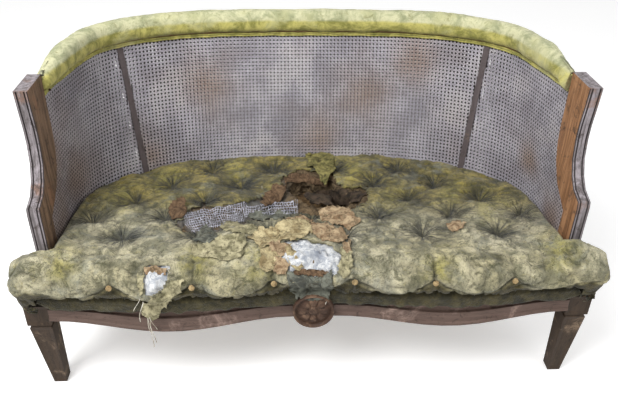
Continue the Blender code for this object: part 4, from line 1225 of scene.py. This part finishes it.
class SETTEE_OT_seat(bpy.types.Operator):
    """Drape the tufted cover over the seat and tear it open over its stuffing"""

    bl_idname = "settee.seat"
    bl_label = "Cover Seat"

    def execute(self, context):
        base = base_seat()
        points, mark = dress_points(get_points(base), get_normals(base))
        set_points(base, points)
        faces = [tuple(face.vertices) for face in base.data.polygons]
        seat_skin["tree"] = BVHTree.FromPolygons([Vector(point) for point in points], faces)
        main, cotton, corner = tear_distance(points)
        torn = np.minimum(np.minimum(main, cotton), corner)
        self.add_cover(base, points, mark, torn)
        self.add_stuffing(base, points, main, cotton, corner)
        bpy.data.objects.remove(base, do_unlink=True)
        return {"FINISHED"}

    def add_cover(self, base, points, mark, torn):
        """The velvet, cut away where it is torn, with the marks that its material reads."""
        cover = copy_piece(base, "torn_cover", velvet_finish(), "velvet", ["seat_cover"])
        near_tear = np.exp(-np.maximum(torn, 0) / TEAR_CURL_REACH)
        curl = near_tear * (0.5 + 0.5 * soft_noise(points, 0.035, 61))
        set_points(cover, points + get_normals(cover) * (TEAR_CURL * curl)[:, None])
        x, y, z = own_plan(points)
        pale = ease((-0.02 - y) / 0.18) * (0.85 + 0.35 * soft_noise(points, 0.09, 62))
        band = ease((border_line(x) - z) / 0.015) * ease((NOSE_Y + 0.09 - y) / 0.02)
        pale *= 1 - 0.8 * band
        set_attribute(cover, "front", np.clip(pale, 0, 1))
        # The painted shade of the creases, which the velvet reads.
        set_attribute(cover, "crease", mark)
        # Grime at the soil spots, darker near the tears and over the low front band.
        soil_and_shade = np.maximum(spread_spots(points, SOIL_SPOTS), 0.9 * np.exp(-np.maximum(torn, 0) / 0.012))
        soil_and_shade = np.maximum(soil_and_shade, 0.85 * band * (0.7 + 0.6 * soft_noise(points, 0.07, 66)))
        # Painted shade: darker where the seat meets the back and arms.
        wall, _ = wall_distance(x, y)
        soil_and_shade = np.maximum(soil_and_shade, 0.6 * np.exp(-np.maximum(wall, 0) / 0.03))
        set_attribute(cover, "soil_and_shade", soil_and_shade * (0.6 + 0.4 * soft_noise(points, 0.03, 63)))
        set_attribute(cover, "yellow", spread_spots(points, YELLOW_SPOTS))
        set_attribute(cover, "band", np.clip(band, 0, 1))
        # Where the painted shade lines along the tuft pleats fall: direction from the nearest tuft and
        # nearness to it.
        ray, away = nearest_tuft(points - (0, DEPTH_SHIFT, 0))
        upper = ease((get_normals(cover)[:, 2] + 0.2) / 0.4) * ease((y - NOSE_Y - 0.01) / 0.03)
        set_attribute(cover, "near", np.clip(1.25 * upper * np.exp(-(away / 0.054) ** 2), 0, 1))
        rays = cover.data.attributes.new("ray", "FLOAT_VECTOR", "POINT")
        rays.data.foreach_set("vector", ray.astype(np.float32).ravel())
        keep_faces(cover, torn > 0)
        turn_edges_down(cover, sizes().cover_thickness)

    def add_stuffing(self, base, points, main, cotton, corner):
        """What the tears show: brown fibre in the long tear, white cotton at the front and corner."""
        brown = fibre_finish("old_fibre", (58, 48, 36), (122, 104, 80), 45, "grey", (104, 102, 98))
        white = fibre_finish("white_cotton", (158, 164, 174), (240, 240, 238), 55, "grey", (128, 134, 146))
        x, y, _ = own_plan(points)
        # Painted shade: the fibre bed turns grey to the left and the front cotton bluish grey at its middle;
        # the corner cotton takes rust spots instead.
        shaded_left = ease((-0.02 - x) / 0.1)
        shaded_middle = np.exp(-(np.hypot(x - 0.005, y + 0.345) / 0.03) ** 2)
        rust_spots = spread_spots(points, ((156, 268, 0.014), (163, 270, 0.012)))
        fluff = FLUFF * soft_noise(points, 0.020, 64) + FLUFF_FINE * soft_noise(points, 0.009, 65)
        for name, distance, material, rise, slot, node, grey in (
                ("fibre_bed", main, brown, -0.005, "felt", (), shaded_left),
                ("cotton_front", cotton, white, 0.004, "cotton", ["cotton_layer"], shaded_middle),
                ("cotton_corner", corner, white, 0.001, "cotton", (), rust_spots)):
            bed = copy_piece(base, name, material, slot, node)
            swell = rise * ease(-distance / 0.02) - 0.004 * ease(1 + distance / 0.012)
            moved = points + get_normals(bed) * (fluff * ease(-distance / 0.012) + swell)[:, None]
            set_points(bed, moved)
            set_attribute(bed, "grey", grey)
            keep_faces(bed, distance < BED_UNDER_COVER)


# The open weave in pixels of the photograph: pitch, thread, and the corners of its two strips
NET_PITCH = 2.4
NET_THREAD = 0.62
NET_STRIPS = (
    ((182, 215), (246, 204), (244, 221), (190, 232)),
    ((242, 209), (297, 201), (298, 213), (245, 217)),
)


class SETTEE_OT_net(bpy.types.Operator):
    """Lay the open hessian strip in the long tear"""

    bl_idname = "settee.net"
    bl_label = "Lay Hessian Strip"

    def execute(self, context):
        material = cloth_finish("grey_hessian", (136, 136, 146), (190, 190, 200))
        lines = []
        fray = np.random.default_rng(8)
        for corners in NET_STRIPS:
            self.weave(lines, [np.array(corner, dtype=float) for corner in corners], fray)
        points, faces = strand_mesh(lines)
        make_piece("hessian_net", points, faces, material, "hessian", ["hessian_scrap"], smooth=False)
        return {"FINISHED"}

    @staticmethod
    def weave(lines, corners, fray):
        """Open weave between four pixels of the photograph, frayed at its ends."""
        a, b, c, d = corners
        across = int(np.linalg.norm(b - a) / NET_PITCH)
        deep = int(np.linalg.norm(d - a) / NET_PITCH) + 1

        def spot(s, t):
            s, t = np.broadcast_arrays(np.asarray(s, dtype=float), np.asarray(t, dtype=float))
            p = ((1 - s) * (1 - t))[:, None] * a + (s * (1 - t))[:, None] * b
            p = p + (s * t)[:, None] * c + ((1 - s) * t)[:, None] * d
            wave = np.stack((p[:, 0] * 0.01, p[:, 1] * 0.01, np.zeros(len(p))), axis=1)
            p = p + 1.3 * np.stack([soft_noise(wave, 0.07, 82), soft_noise(wave, 0.07, 83)], axis=1)
            return np.array([place + 0.004 * normal for place, normal in map(on_skin, p)])

        fine = np.linspace(0, 1, 3 * across)
        for j in range(deep + 1):
            t = j / deep
            keep = slice(int(fray.integers(0, 8)), len(fine) - int(fray.integers(0, 8)))
            lift = np.zeros((len(fine[keep]), 3))
            lift[:, 2] = 0.0008 * np.sin(np.arange(len(fine[keep])) * math.pi / 2 + j * math.pi)
            w = NET_THREAD / np.linalg.norm(d - a) / 2
            lines.append((spot(fine[keep], t - w) + lift, spot(fine[keep], t + w) + lift))
        fine = np.linspace(-0.08, 1.08, 3 * deep + 2)
        for i in range(across + 1):
            s = i / across
            keep = slice(int(fray.integers(0, 2)), len(fine) - int(fray.integers(0, 2)))
            w = NET_THREAD / np.linalg.norm(b - a) / 2
            lines.append((spot(s - w, fine[keep]), spot(s + w, fine[keep])))


# How scraps are cut: pixels around the outline and between points, and their thickness
SCRAP_MARGIN = 1.5
SCRAP_STEP = 0.7
SCRAP_THICKNESS = 0.0012

# Name, kind, lift, curl, direction of the curl in degrees (0 right, 90 up), outline in photo pixels
SCRAPS = (
    ("felt_curl_left", "felt", 0.006, 0.016, 60,
     ((168, 207), (176, 201), (184, 203), (186, 212), (182, 219), (174, 221), (169, 215))),
    ("felt_curl_middle", "felt", 0.005, 0.016, 40,
     ((259, 203), (266, 194), (276, 188), (287, 191), (284, 201), (272, 206), (262, 207))),
    ("back_flap", "olive", 0.007, 0.012, 300,
     ((306, 156), (322, 153), (334, 158), (336, 170), (331, 181), (320, 180), (314, 170), (307, 168))),
    ("hollow_edge", "felt", 0.001, 0.004, 90,
     ((284, 175), (300, 173), (316, 176), (330, 180), (327, 186), (305, 182), (285, 183))),
    ("soiled_fold", "dark", 0.004, 0.010, 120,
     ((302, 196), (320, 189), (345, 190), (366, 194), (360, 203), (335, 206), (312, 205))),
    ("tan_scrap_middle", "tan", 0.006, 0.010, 50,
     ((318, 212), (332, 207), (350, 213), (360, 222), (350, 231), (338, 227), (322, 221))),
    ("tan_scrap_low", "tan", 0.005, 0.006, 90, ((342, 245), (350, 243), (352, 252), (346, 257), (341, 252))),
    ("tan_scrap_right", "tan", 0.005, 0.006, 20,
     ((446, 225), (456, 221), (466, 224), (462, 230), (450, 232))),
    ("cream_wad", "cream", 0.007, 0.012, 110,
     ((270, 232), (280, 223), (296, 219), (310, 223), (312, 232), (303, 240), (288, 243), (274, 240))),
    ("tan_wad", "tan", 0.005, 0.012, 90,
     ((276, 226), (290, 218), (306, 217), (316, 222), (304, 225), (288, 229), (278, 232))),
    ("petal_left", "cream", 0.006, 0.014, 200,
     ((257, 262), (262, 250), (272, 245), (279, 252), (276, 265), (266, 273), (259, 270))),
    ("petal_upper", "tan", 0.007, 0.012, 130,
     ((266, 248), (276, 242), (287, 244), (290, 252), (282, 256), (272, 252))),
    ("petal_right", "cream", 0.007, 0.012, 230,
     ((285, 250), (292, 246), (299, 255), (303, 268), (296, 272), (289, 262))),
    ("petal_low", "tan", 0.006, 0.010, 250,
     ((271, 258), (281, 256), (290, 264), (286, 274), (276, 274), (269, 268))),
    ("fold_middle", "cream", 0.006, 0.012, 80,
     ((248, 238), (260, 228), (272, 231), (284, 239), (276, 246), (260, 248))),
    ("fold_right", "tan", 0.006, 0.012, 60,
     ((310, 222), (326, 226), (342, 231), (352, 239), (338, 244), (320, 240), (308, 231))),
    ("fold_upper", "grey", 0.005, 0.010, 100,
     ((248, 214), (262, 212), (282, 211), (296, 214), (284, 219), (262, 221), (250, 220))),
    ("grey_scrap", "grey", 0.005, 0.008, 60,
     ((192, 241), (200, 230), (211, 227), (218, 235), (216, 243), (203, 244))),
    ("middle_flap", "pale", 0.006, 0.010, 70,
     ((192, 247), (205, 243), (222, 237), (244, 236), (246, 246), (242, 258), (226, 262), (206, 258),
      (194, 256))),
    ("edge_strip", "pale", 0.005, 0.008, 80,
     ((222, 222), (236, 224), (252, 226), (262, 231), (250, 236), (232, 233), (221, 229))),
    ("rim_flap", "pale", 0.006, 0.012, 30,
     ((341, 250), (352, 256), (352, 272), (344, 280), (337, 272), (340, 260))),
    ("hanging_flap", "grey", 0.006, 0.012, 260,
     ((287, 271), (300, 275), (318, 275), (332, 272), (334, 286), (329, 297), (312, 298), (295, 296),
      (288, 284))),
    ("flap_edge", "felt", 0.009, 0.004, 90,
     ((292, 272), (306, 271), (324, 271), (331, 273), (324, 278), (308, 277), (294, 276))),
    ("corner_flap", "pale", 0.008, 0.010, 240,
     ((143, 303), (150, 297), (160, 290), (176, 280), (186, 279), (178, 292), (166, 306), (154, 316),
      (144, 311))),
    ("corner_rust", "tan", 0.004, 0.004, 90,
     ((145, 268), (156, 266), (168, 268), (166, 275), (155, 273), (146, 275))),
    ("corner_lip", "pale", 0.005, 0.008, 180,
     ((138, 270), (144, 270), (144, 284), (142, 294), (137, 288))),
)

# Metres that a pixel takes across and down at the torn corner, and half a thread's width
THREAD_RUN = 0.0033
THREAD_DROP = 0.0039
THREAD_HALF = 0.0009

# Start and end pixel of each loose thread, and how far it wanders
LOOSE_THREADS = (
    ((147, 306), (151, 334), 1.0), ((145, 304), (148, 324), 0.8), ((150, 308), (150, 338), 0.6),
    ((143, 300), (140, 314), 0.8), ((148, 306), (153, 322), 1.2), ((141, 296), (136, 305), 0.6),
    ((330, 290), (327, 300), 0.6), ((166, 266), (170, 270), 0.5), ((262, 188), (266, 196), 0.5),
)


class SETTEE_OT_scraps(bpy.types.Operator):
    """Lay the torn scraps and flaps on the seat"""

    bl_idname = "settee.scraps"
    bl_label = "Lay Scraps"

    def execute(self, context):
        finishes = {
            "felt": fibre_finish("brown_felt", (66, 50, 38), (126, 102, 78), 60),
            "tan": cloth_finish("tan_scrim", (120, 96, 72), (186, 164, 132)),
            "cream": cloth_finish("cream_scrim", (130, 114, 82), (200, 186, 146)),
            "grey": cloth_finish("grey_scrap_cloth", (60, 62, 58), (122, 124, 112)),
            "dark": cloth_finish("soiled_cloth", (30, 26, 22), (82, 68, 56)),
            "olive": cloth_finish("olive_scrap_cloth", (78, 76, 46), (152, 144, 90)),
            "pale": cloth_finish("faded_scrap", (110, 106, 80), (186, 178, 144)),
        }
        slots = {"felt": "felt", "tan": "hessian", "cream": "cotton"}
        for seed, (name, kind, lift, curl, way, outline) in enumerate(SCRAPS):
            self.add_scrap(name, outline, lift, curl, math.radians(way), finishes[kind],
                           slots.get(kind, "velvet"), 100 + seed)
        self.add_threads()
        return {"FINISHED"}

    def add_threads(self):
        """Loose threads that hang from the torn corner, with a few short ones at the other tears."""
        lines = []
        loose = np.random.default_rng(31)
        right, up, _ = [np.array(axis) for axis in camera_axes()]
        for start, end, bend in LOOSE_THREADS:
            first, normal = on_skin(start)
            share = np.linspace(0, 1, 14)[:, None]
            drop = np.array((0, 0, -(end[1] - start[1]) * THREAD_DROP))
            run = (end[0] - start[0]) * THREAD_RUN * right + drop
            path = first + (0.006 * normal + np.array((0, -0.012, 0)) * np.sin(share * 1.6)) + share * run
            path = path + bend * 0.003 * np.sin(share * 5.5 + loose.uniform(0, 3)) * right
            lines.append((path - THREAD_HALF * right, path + THREAD_HALF * right))
        points, faces = strand_mesh(lines)
        cotton = cloth_finish("thread_cotton", (150, 140, 120), (214, 210, 198))
        make_piece("loose_threads", points, faces, cotton, "cotton", smooth=False)

    def add_scrap(self, name, outline, lift, curl, way, material, slot, seed):
        """Ragged patch inside an outline on the photograph; it follows the seat and curls up at an edge."""
        edge = np.array(outline, dtype=float)
        low = edge.min(axis=0) - SCRAP_MARGIN
        high = edge.max(axis=0) + SCRAP_MARGIN
        across = int((high[0] - low[0]) / SCRAP_STEP) + 1
        down = int((high[1] - low[1]) / SCRAP_STEP) + 1
        steps = (np.linspace(low[0], high[0], across), np.linspace(low[1], high[1], down))
        s, t = np.meshgrid(*steps, indexing="ij")
        pixels = np.stack((s.ravel(), t.ravel()), axis=1)
        flat = np.stack((s.ravel() * 0.003, t.ravel() * 0.003, np.zeros(s.size)), axis=1)
        ragged = 1.5 * soft_noise(flat, 0.014, seed) + 1.0 * soft_noise(flat, 0.005, seed + 1)
        inside = plan_distance(pixels, outline) + ragged
        spread = (pixels - edge.mean(axis=0)) * (1, -1)
        share = (spread[:, 0] * math.cos(way) + spread[:, 1] * math.sin(way)) / (0.5 * max(high - low))
        rise = lift + curl * ease(share) ** 1.5 + 0.0035 * soft_noise(flat, 0.022, seed + 2)
        rise = rise + 0.0018 * soft_noise(flat, 0.008, seed + 3)
        used = inside < 0.8
        number = np.full(len(pixels), -1)
        number[used] = np.arange(int(used.sum()))
        points = np.array([place + normal * up for (place, normal), up
                           in zip(map(on_skin, pixels[used]), rise[used])])
        faces = []
        for i in range(across - 1):
            for j in range(down - 1):
                a = i * down + j
                face = (a, a + down, a + down + 1, a + 1)
                if all(used[k] for k in face):
                    faces.append(tuple(int(number[k]) for k in face))
        for _ in range(2):
            points = smooth_points(points, faces)
        piece = make_piece(name, points, faces, material, slot)
        size = points.max(axis=0) - points.min(axis=0)
        long_side = max(float(np.hypot(size[0], max(size[1], size[2]))), 0.011)
        give_thickness(piece, SCRAP_THICKNESS)


def smooth_points(points, faces):
    """One pass of averaging each point of a patch with its neighbours."""
    total = points.copy()
    count = np.ones(len(points))
    for face in faces:
        for a, b in zip(face, face[1:] + face[:1]):
            total[a] += points[b]
            total[b] += points[a]
            count[a] += 1
            count[b] += 1
    return total / count[:, None]


# The rosette's mesh, and the shares of its radius at which its parts begin or end
BOSS_SPOKES = 144
BOSS_RINGS = 34
EYE_TO = 0.24
PETAL_FROM = 0.26
RIM_FROM = 0.86
BOSS_EDGE = 0.985


class SETTEE_OT_medallion(bpy.types.Operator):
    """Carve the rosette on the front rail"""

    bl_idname = "settee.medallion"
    bl_label = "Carve Medallion"

    def execute(self, context):
        wood = wood_finish("boss_wood", (40, 29, 23), (90, 66, 52), (140, 112, 90), "x", 0.45)
        radius = (BOSS_HIGH.x - BOSS_LOW.x) / 2
        centre_z = (BOSS_HIGH.z + BOSS_LOW.z) / 2
        centre_x = (BOSS_HIGH.x + BOSS_LOW.x) / 2
        back = BOSS_HIGH.y
        thick = BOSS_HIGH.y - BOSS_LOW.y
        points = []
        faces = []
        for i in range(BOSS_RINGS + 1):
            share = i / BOSS_RINGS
            for k in range(BOSS_SPOKES):
                angle = 2 * math.pi * k / BOSS_SPOKES
                depth = self.relief(share, angle) * thick
                r = radius * min(1.0, share * 1.03)
                points.append((centre_x + r * math.cos(angle), back - depth, centre_z + r * math.sin(angle)))
        for i in range(BOSS_RINGS):
            for k in range(BOSS_SPOKES):
                a = i * BOSS_SPOKES + k
                b = i * BOSS_SPOKES + (k + 1) % BOSS_SPOKES
                faces.append((a, b, b + BOSS_SPOKES, a + BOSS_SPOKES))
        make_piece("rosette", points, faces, wood, "leg_wood", ["medallion"])
        return {"FINISHED"}

    @staticmethod
    def relief(share, angle):
        """Height of the carving: a domed eye, eight petals, a hollow and a rolled rim."""
        petal = abs(math.cos(4 * angle))
        vein = abs(math.sin(8 * angle))
        if share > BOSS_EDGE:
            return 0.0
        if share > RIM_FROM:
            return 0.80 + 0.2 * math.sin(math.pi * (share - RIM_FROM) / (BOSS_EDGE - RIM_FROM)) ** 0.7
        if share > PETAL_FROM:
            across = (share - PETAL_FROM) / (RIM_FROM - PETAL_FROM)
            length = 0.80 + 0.20 * petal
            body = max(0.0, 1 - (across / length) ** 4)
            swell = (0.35 + 0.65 * petal ** 0.6) * math.sin(math.pi * min(1, across * 0.9 + 0.12))
            return 0.58 + 0.36 * body * swell - 0.05 * (1 - vein)
        dome = math.sqrt(max(0.0, 1 - (share / EYE_TO) ** 2)) if share < EYE_TO else 0.0
        return 0.60 + 0.34 * dome


class SETTEE_OT_wood(bpy.types.Operator):
    """Give the frame its weathered finishes and worn edges"""

    bl_idname = "settee.wood"
    bl_label = "Weather Wood"

    def execute(self, context):
        grey = wood_finish("upright_wood", (66, 58, 56), (112, 102, 104), (128, 108, 94), "z", 0.2)
        post = self.post_finish()
        leg = wood_finish("leg_dark", (34, 27, 21), (82, 66, 52), (132, 112, 92), "z", 0.35)
        rail = wood_finish("rail_worn", (58, 46, 40), (124, 102, 92), (164, 140, 128), "x", 0.35)
        raw = wood_finish("hidden_raw", (96, 72, 46), (150, 118, 80), (168, 140, 104), "x", 0.4)
        jute = cloth_finish("jute_webbing", (110, 88, 56), (156, 130, 88), 600.0)
        felt = fibre_finish("felt_layer", (66, 50, 34), (112, 90, 62), 45)
        hessian = cloth_finish("hessian_layer", (110, 92, 66), (150, 130, 98), 700.0)
        button = cloth_finish("button_cloth", (134, 112, 78), (182, 158, 116))
        groups = {
            "arm_post": post, "mullion": grey, "front_leg": leg, "back_leg": leg, "front_rail": rail,
            "side_rail": raw, "back_rail": raw, "cane_rail": raw, "crest_rail": raw, "corner_block": raw,
            "webbing": jute, "felt_pad": felt, "hessian_deck": hessian, "border_button": button,
        }
        bevelled = ("arm_post", "mullion", "front_leg", "back_leg")
        for name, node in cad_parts.items():
            for start, material in groups.items():
                if name.startswith(start):
                    for i in range(len(node.material_slots)):
                        node.material_slots[i].material = material
                    if start in bevelled:
                        self.soften(node)
        return {"FINISHED"}

    @staticmethod
    def soften(node):
        """Round a wooden piece's edges a little, as handling has worn them."""
        bevel = node.modifiers.new("Worn edges", "BEVEL")
        bevel.width = 0.0014
        bevel.segments = 2
        bevel.limit_method = "ANGLE"
        bevel.angle_limit = math.radians(40)

    @staticmethod
    def post_finish():
        """Grey weathered front and brown inner faces, told apart by the face's own direction; painted shade
        darkens the left post's sides, the grooves and the rounded edges.
        """
        f = Finish("post_weathered", 0.65)
        turn = f.new("SeparateXYZ")
        f.plug(f.new("NewGeometry").outputs["True Normal"], turn.inputs["Vector"])
        level = f.maths("ABSOLUTE", turn.outputs["X"])
        spot = f.new("SeparateXYZ")
        f.plug(f.place, spot.inputs["Vector"])
        off = f.maths("SUBTRACT", f.maths("ABSOLUTE", spot.outputs["X"]), POST_INNER_X + POST_HALF_WIDTH)
        at_side = f.step(f.maths("ABSOLUTE", off), 0.011, 0.014)
        sideways = f.times(f.step(level, 0.80, 0.92), at_side)
        groove = f.times(f.step(level, 0.25, 0.45), f.maths("SUBTRACT", 1.0, sideways))
        grain = f.step(f.noise(3.0, 8, 0.7, 0.4, f.stretched((34.0, 34.0, 2.0))), 0.36, 0.64)
        front = f.mix(grain, (98, 92, 92), (158, 150, 154))
        # Painted shade: the left post's sides are painted darker than the right post's.
        left = f.mix(grain, (84, 66, 54), (140, 114, 92))
        right = f.mix(grain, (120, 84, 56), (176, 132, 96))
        side = f.mix(f.step(spot.outputs["X"], -0.1, 0.1), left, right)
        colour = f.mark(f.mix(sideways, front, side), POST_MARKS)
        # Painted shade: dark where the face turns between front and side, in the grooves and on the rounded
        # edges.
        colour = f.mix(f.times(groove, 0.85), colour, (38, 33, 32))
        return f.finish(colour, f.plus(grain, f.noise(120, 7, 0.7)), 0.6, 0.0016)


# Name, place, size and power of each lamp, and where they point
LAMPS = (
    ("key_light", (-1.5, -1.7, 3.2), 1.6, 120),
    ("fill_light", (2.2, -1.6, 2.2), 2.4, 20),
)
LAMP_TARGET = Vector((0, 0, 0.45))
SENSOR_WIDTH = 36.0


class SETTEE_OT_stage(bpy.types.Operator):
    """Set the floor, the soft light and the camera at the photograph's angle"""

    bl_idname = "settee.stage"
    bl_label = "Set Stage"

    def execute(self, context):
        scene = context.scene
        scene.view_settings.view_transform = "Standard"
        self.add_floor()
        self.add_world(scene)
        for lamp in LAMPS:
            self.add_lamp(*lamp)
        self.add_camera(scene)
        return {"FINISHED"}

    def add_floor(self):
        """A pale floor that glows a little to the camera, as the photograph's ground is white."""
        bpy.ops.object.select_all(action="DESELECT")
        bpy.ops.mesh.primitive_plane_add(size=30, location=(0, 0, 0))
        floor = bpy.context.object
        floor.name = "floor"
        f = Finish("floor_white", 0.9)
        f.shader.inputs["Base Color"].default_value = (*sizes().floor_colour, 1.0)
        path = f.new("LightPath").outputs["Is Camera Ray"]
        f.plug(f.times(path, 0.35), f.shader.inputs["Emission Strength"])
        f.shader.inputs["Emission Color"].default_value = (1, 1, 1, 1)
        floor.data.materials.append(f.material)

    def add_world(self, scene):
        """White surroundings, which light the scene less than they show."""
        world = bpy.data.worlds.new("studio")
        scene.world = world
        world.use_nodes = True
        tree = world.node_tree
        background = tree.nodes["Background"]
        background.inputs["Color"].default_value = (1, 1, 1, 1)
        path = tree.nodes.new("ShaderNodeLightPath")
        seen = tree.nodes.new("ShaderNodeMath")
        seen.operation = "MAXIMUM"
        tree.links.new(path.outputs["Is Camera Ray"], seen.inputs[0])
        tree.links.new(path.outputs["Is Glossy Ray"], seen.inputs[1])
        level = tree.nodes.new("ShaderNodeMapRange")
        tree.links.new(seen.outputs["Value"], level.inputs["Value"])
        level.inputs["To Min"].default_value = 0.55
        level.inputs["To Max"].default_value = 1.0
        tree.links.new(level.outputs["Result"], background.inputs["Strength"])

    def add_lamp(self, name, place, size, power):
        data = bpy.data.lights.new(name, "AREA")
        data.size = size
        data.energy = power
        lamp = bpy.data.objects.new(name, data)
        bpy.context.scene.collection.objects.link(lamp)
        lamp.location = place
        lamp.rotation_euler = (LAMP_TARGET - Vector(place)).to_track_quat("-Z", "Y").to_euler()

    def add_camera(self, scene):
        """The camera as fitted to the photograph."""
        right, up, forward = camera_axes()
        data = bpy.data.cameras.new("camera")
        data.sensor_width = SENSOR_WIDTH
        data.lens = LENS_PX / PHOTO_SIZE[0] * data.sensor_width
        camera = bpy.data.objects.new("camera", data)
        scene.collection.objects.link(camera)
        turn = Matrix((right, up, -forward)).transposed().to_4x4()
        camera.matrix_world = Matrix.Translation(CAMERA_AT) @ turn
        scene.camera = camera


class SETTEE_PT_panel(bpy.types.Panel):
    """Lists the settee's pieces"""

    bl_label = "Torn Settee"
    bl_idname = "SETTEE_PT_panel"
    bl_space_type = "VIEW_3D"
    bl_region_type = "UI"
    bl_category = "Settee"

    def draw(self, context):
        layout = self.layout
        for name in ("cane_pitch", "strand_width", "cover_thickness", "floor_colour"):
            layout.prop(context.scene.settee_sizes, name)
        for operator in PIECE_OPERATORS:
            layout.operator(operator.bl_idname)


PIECE_OPERATORS = (
    SETTEE_OT_stage, SETTEE_OT_wood, SETTEE_OT_medallion, SETTEE_OT_cane, SETTEE_OT_crest, SETTEE_OT_seat,
    SETTEE_OT_net, SETTEE_OT_scraps,
)
CLASSES = (SetteeSizes, *PIECE_OPERATORS, SETTEE_PT_panel)


def register():
    for cls in CLASSES:
        bpy.utils.register_class(cls)
    bpy.types.Scene.settee_sizes = PointerProperty(type=SetteeSizes)


def unregister():
    del bpy.types.Scene.settee_sizes
    for cls in reversed(CLASSES):
        bpy.utils.unregister_class(cls)


def write_sizes():
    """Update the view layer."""
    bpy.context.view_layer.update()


def main():
    register()
    for operator in PIECE_OPERATORS:
        group, name = operator.bl_idname.split(".")
        getattr(getattr(bpy.ops, group), name)()
    write_sizes()


if __name__ == "__main__":
    main()
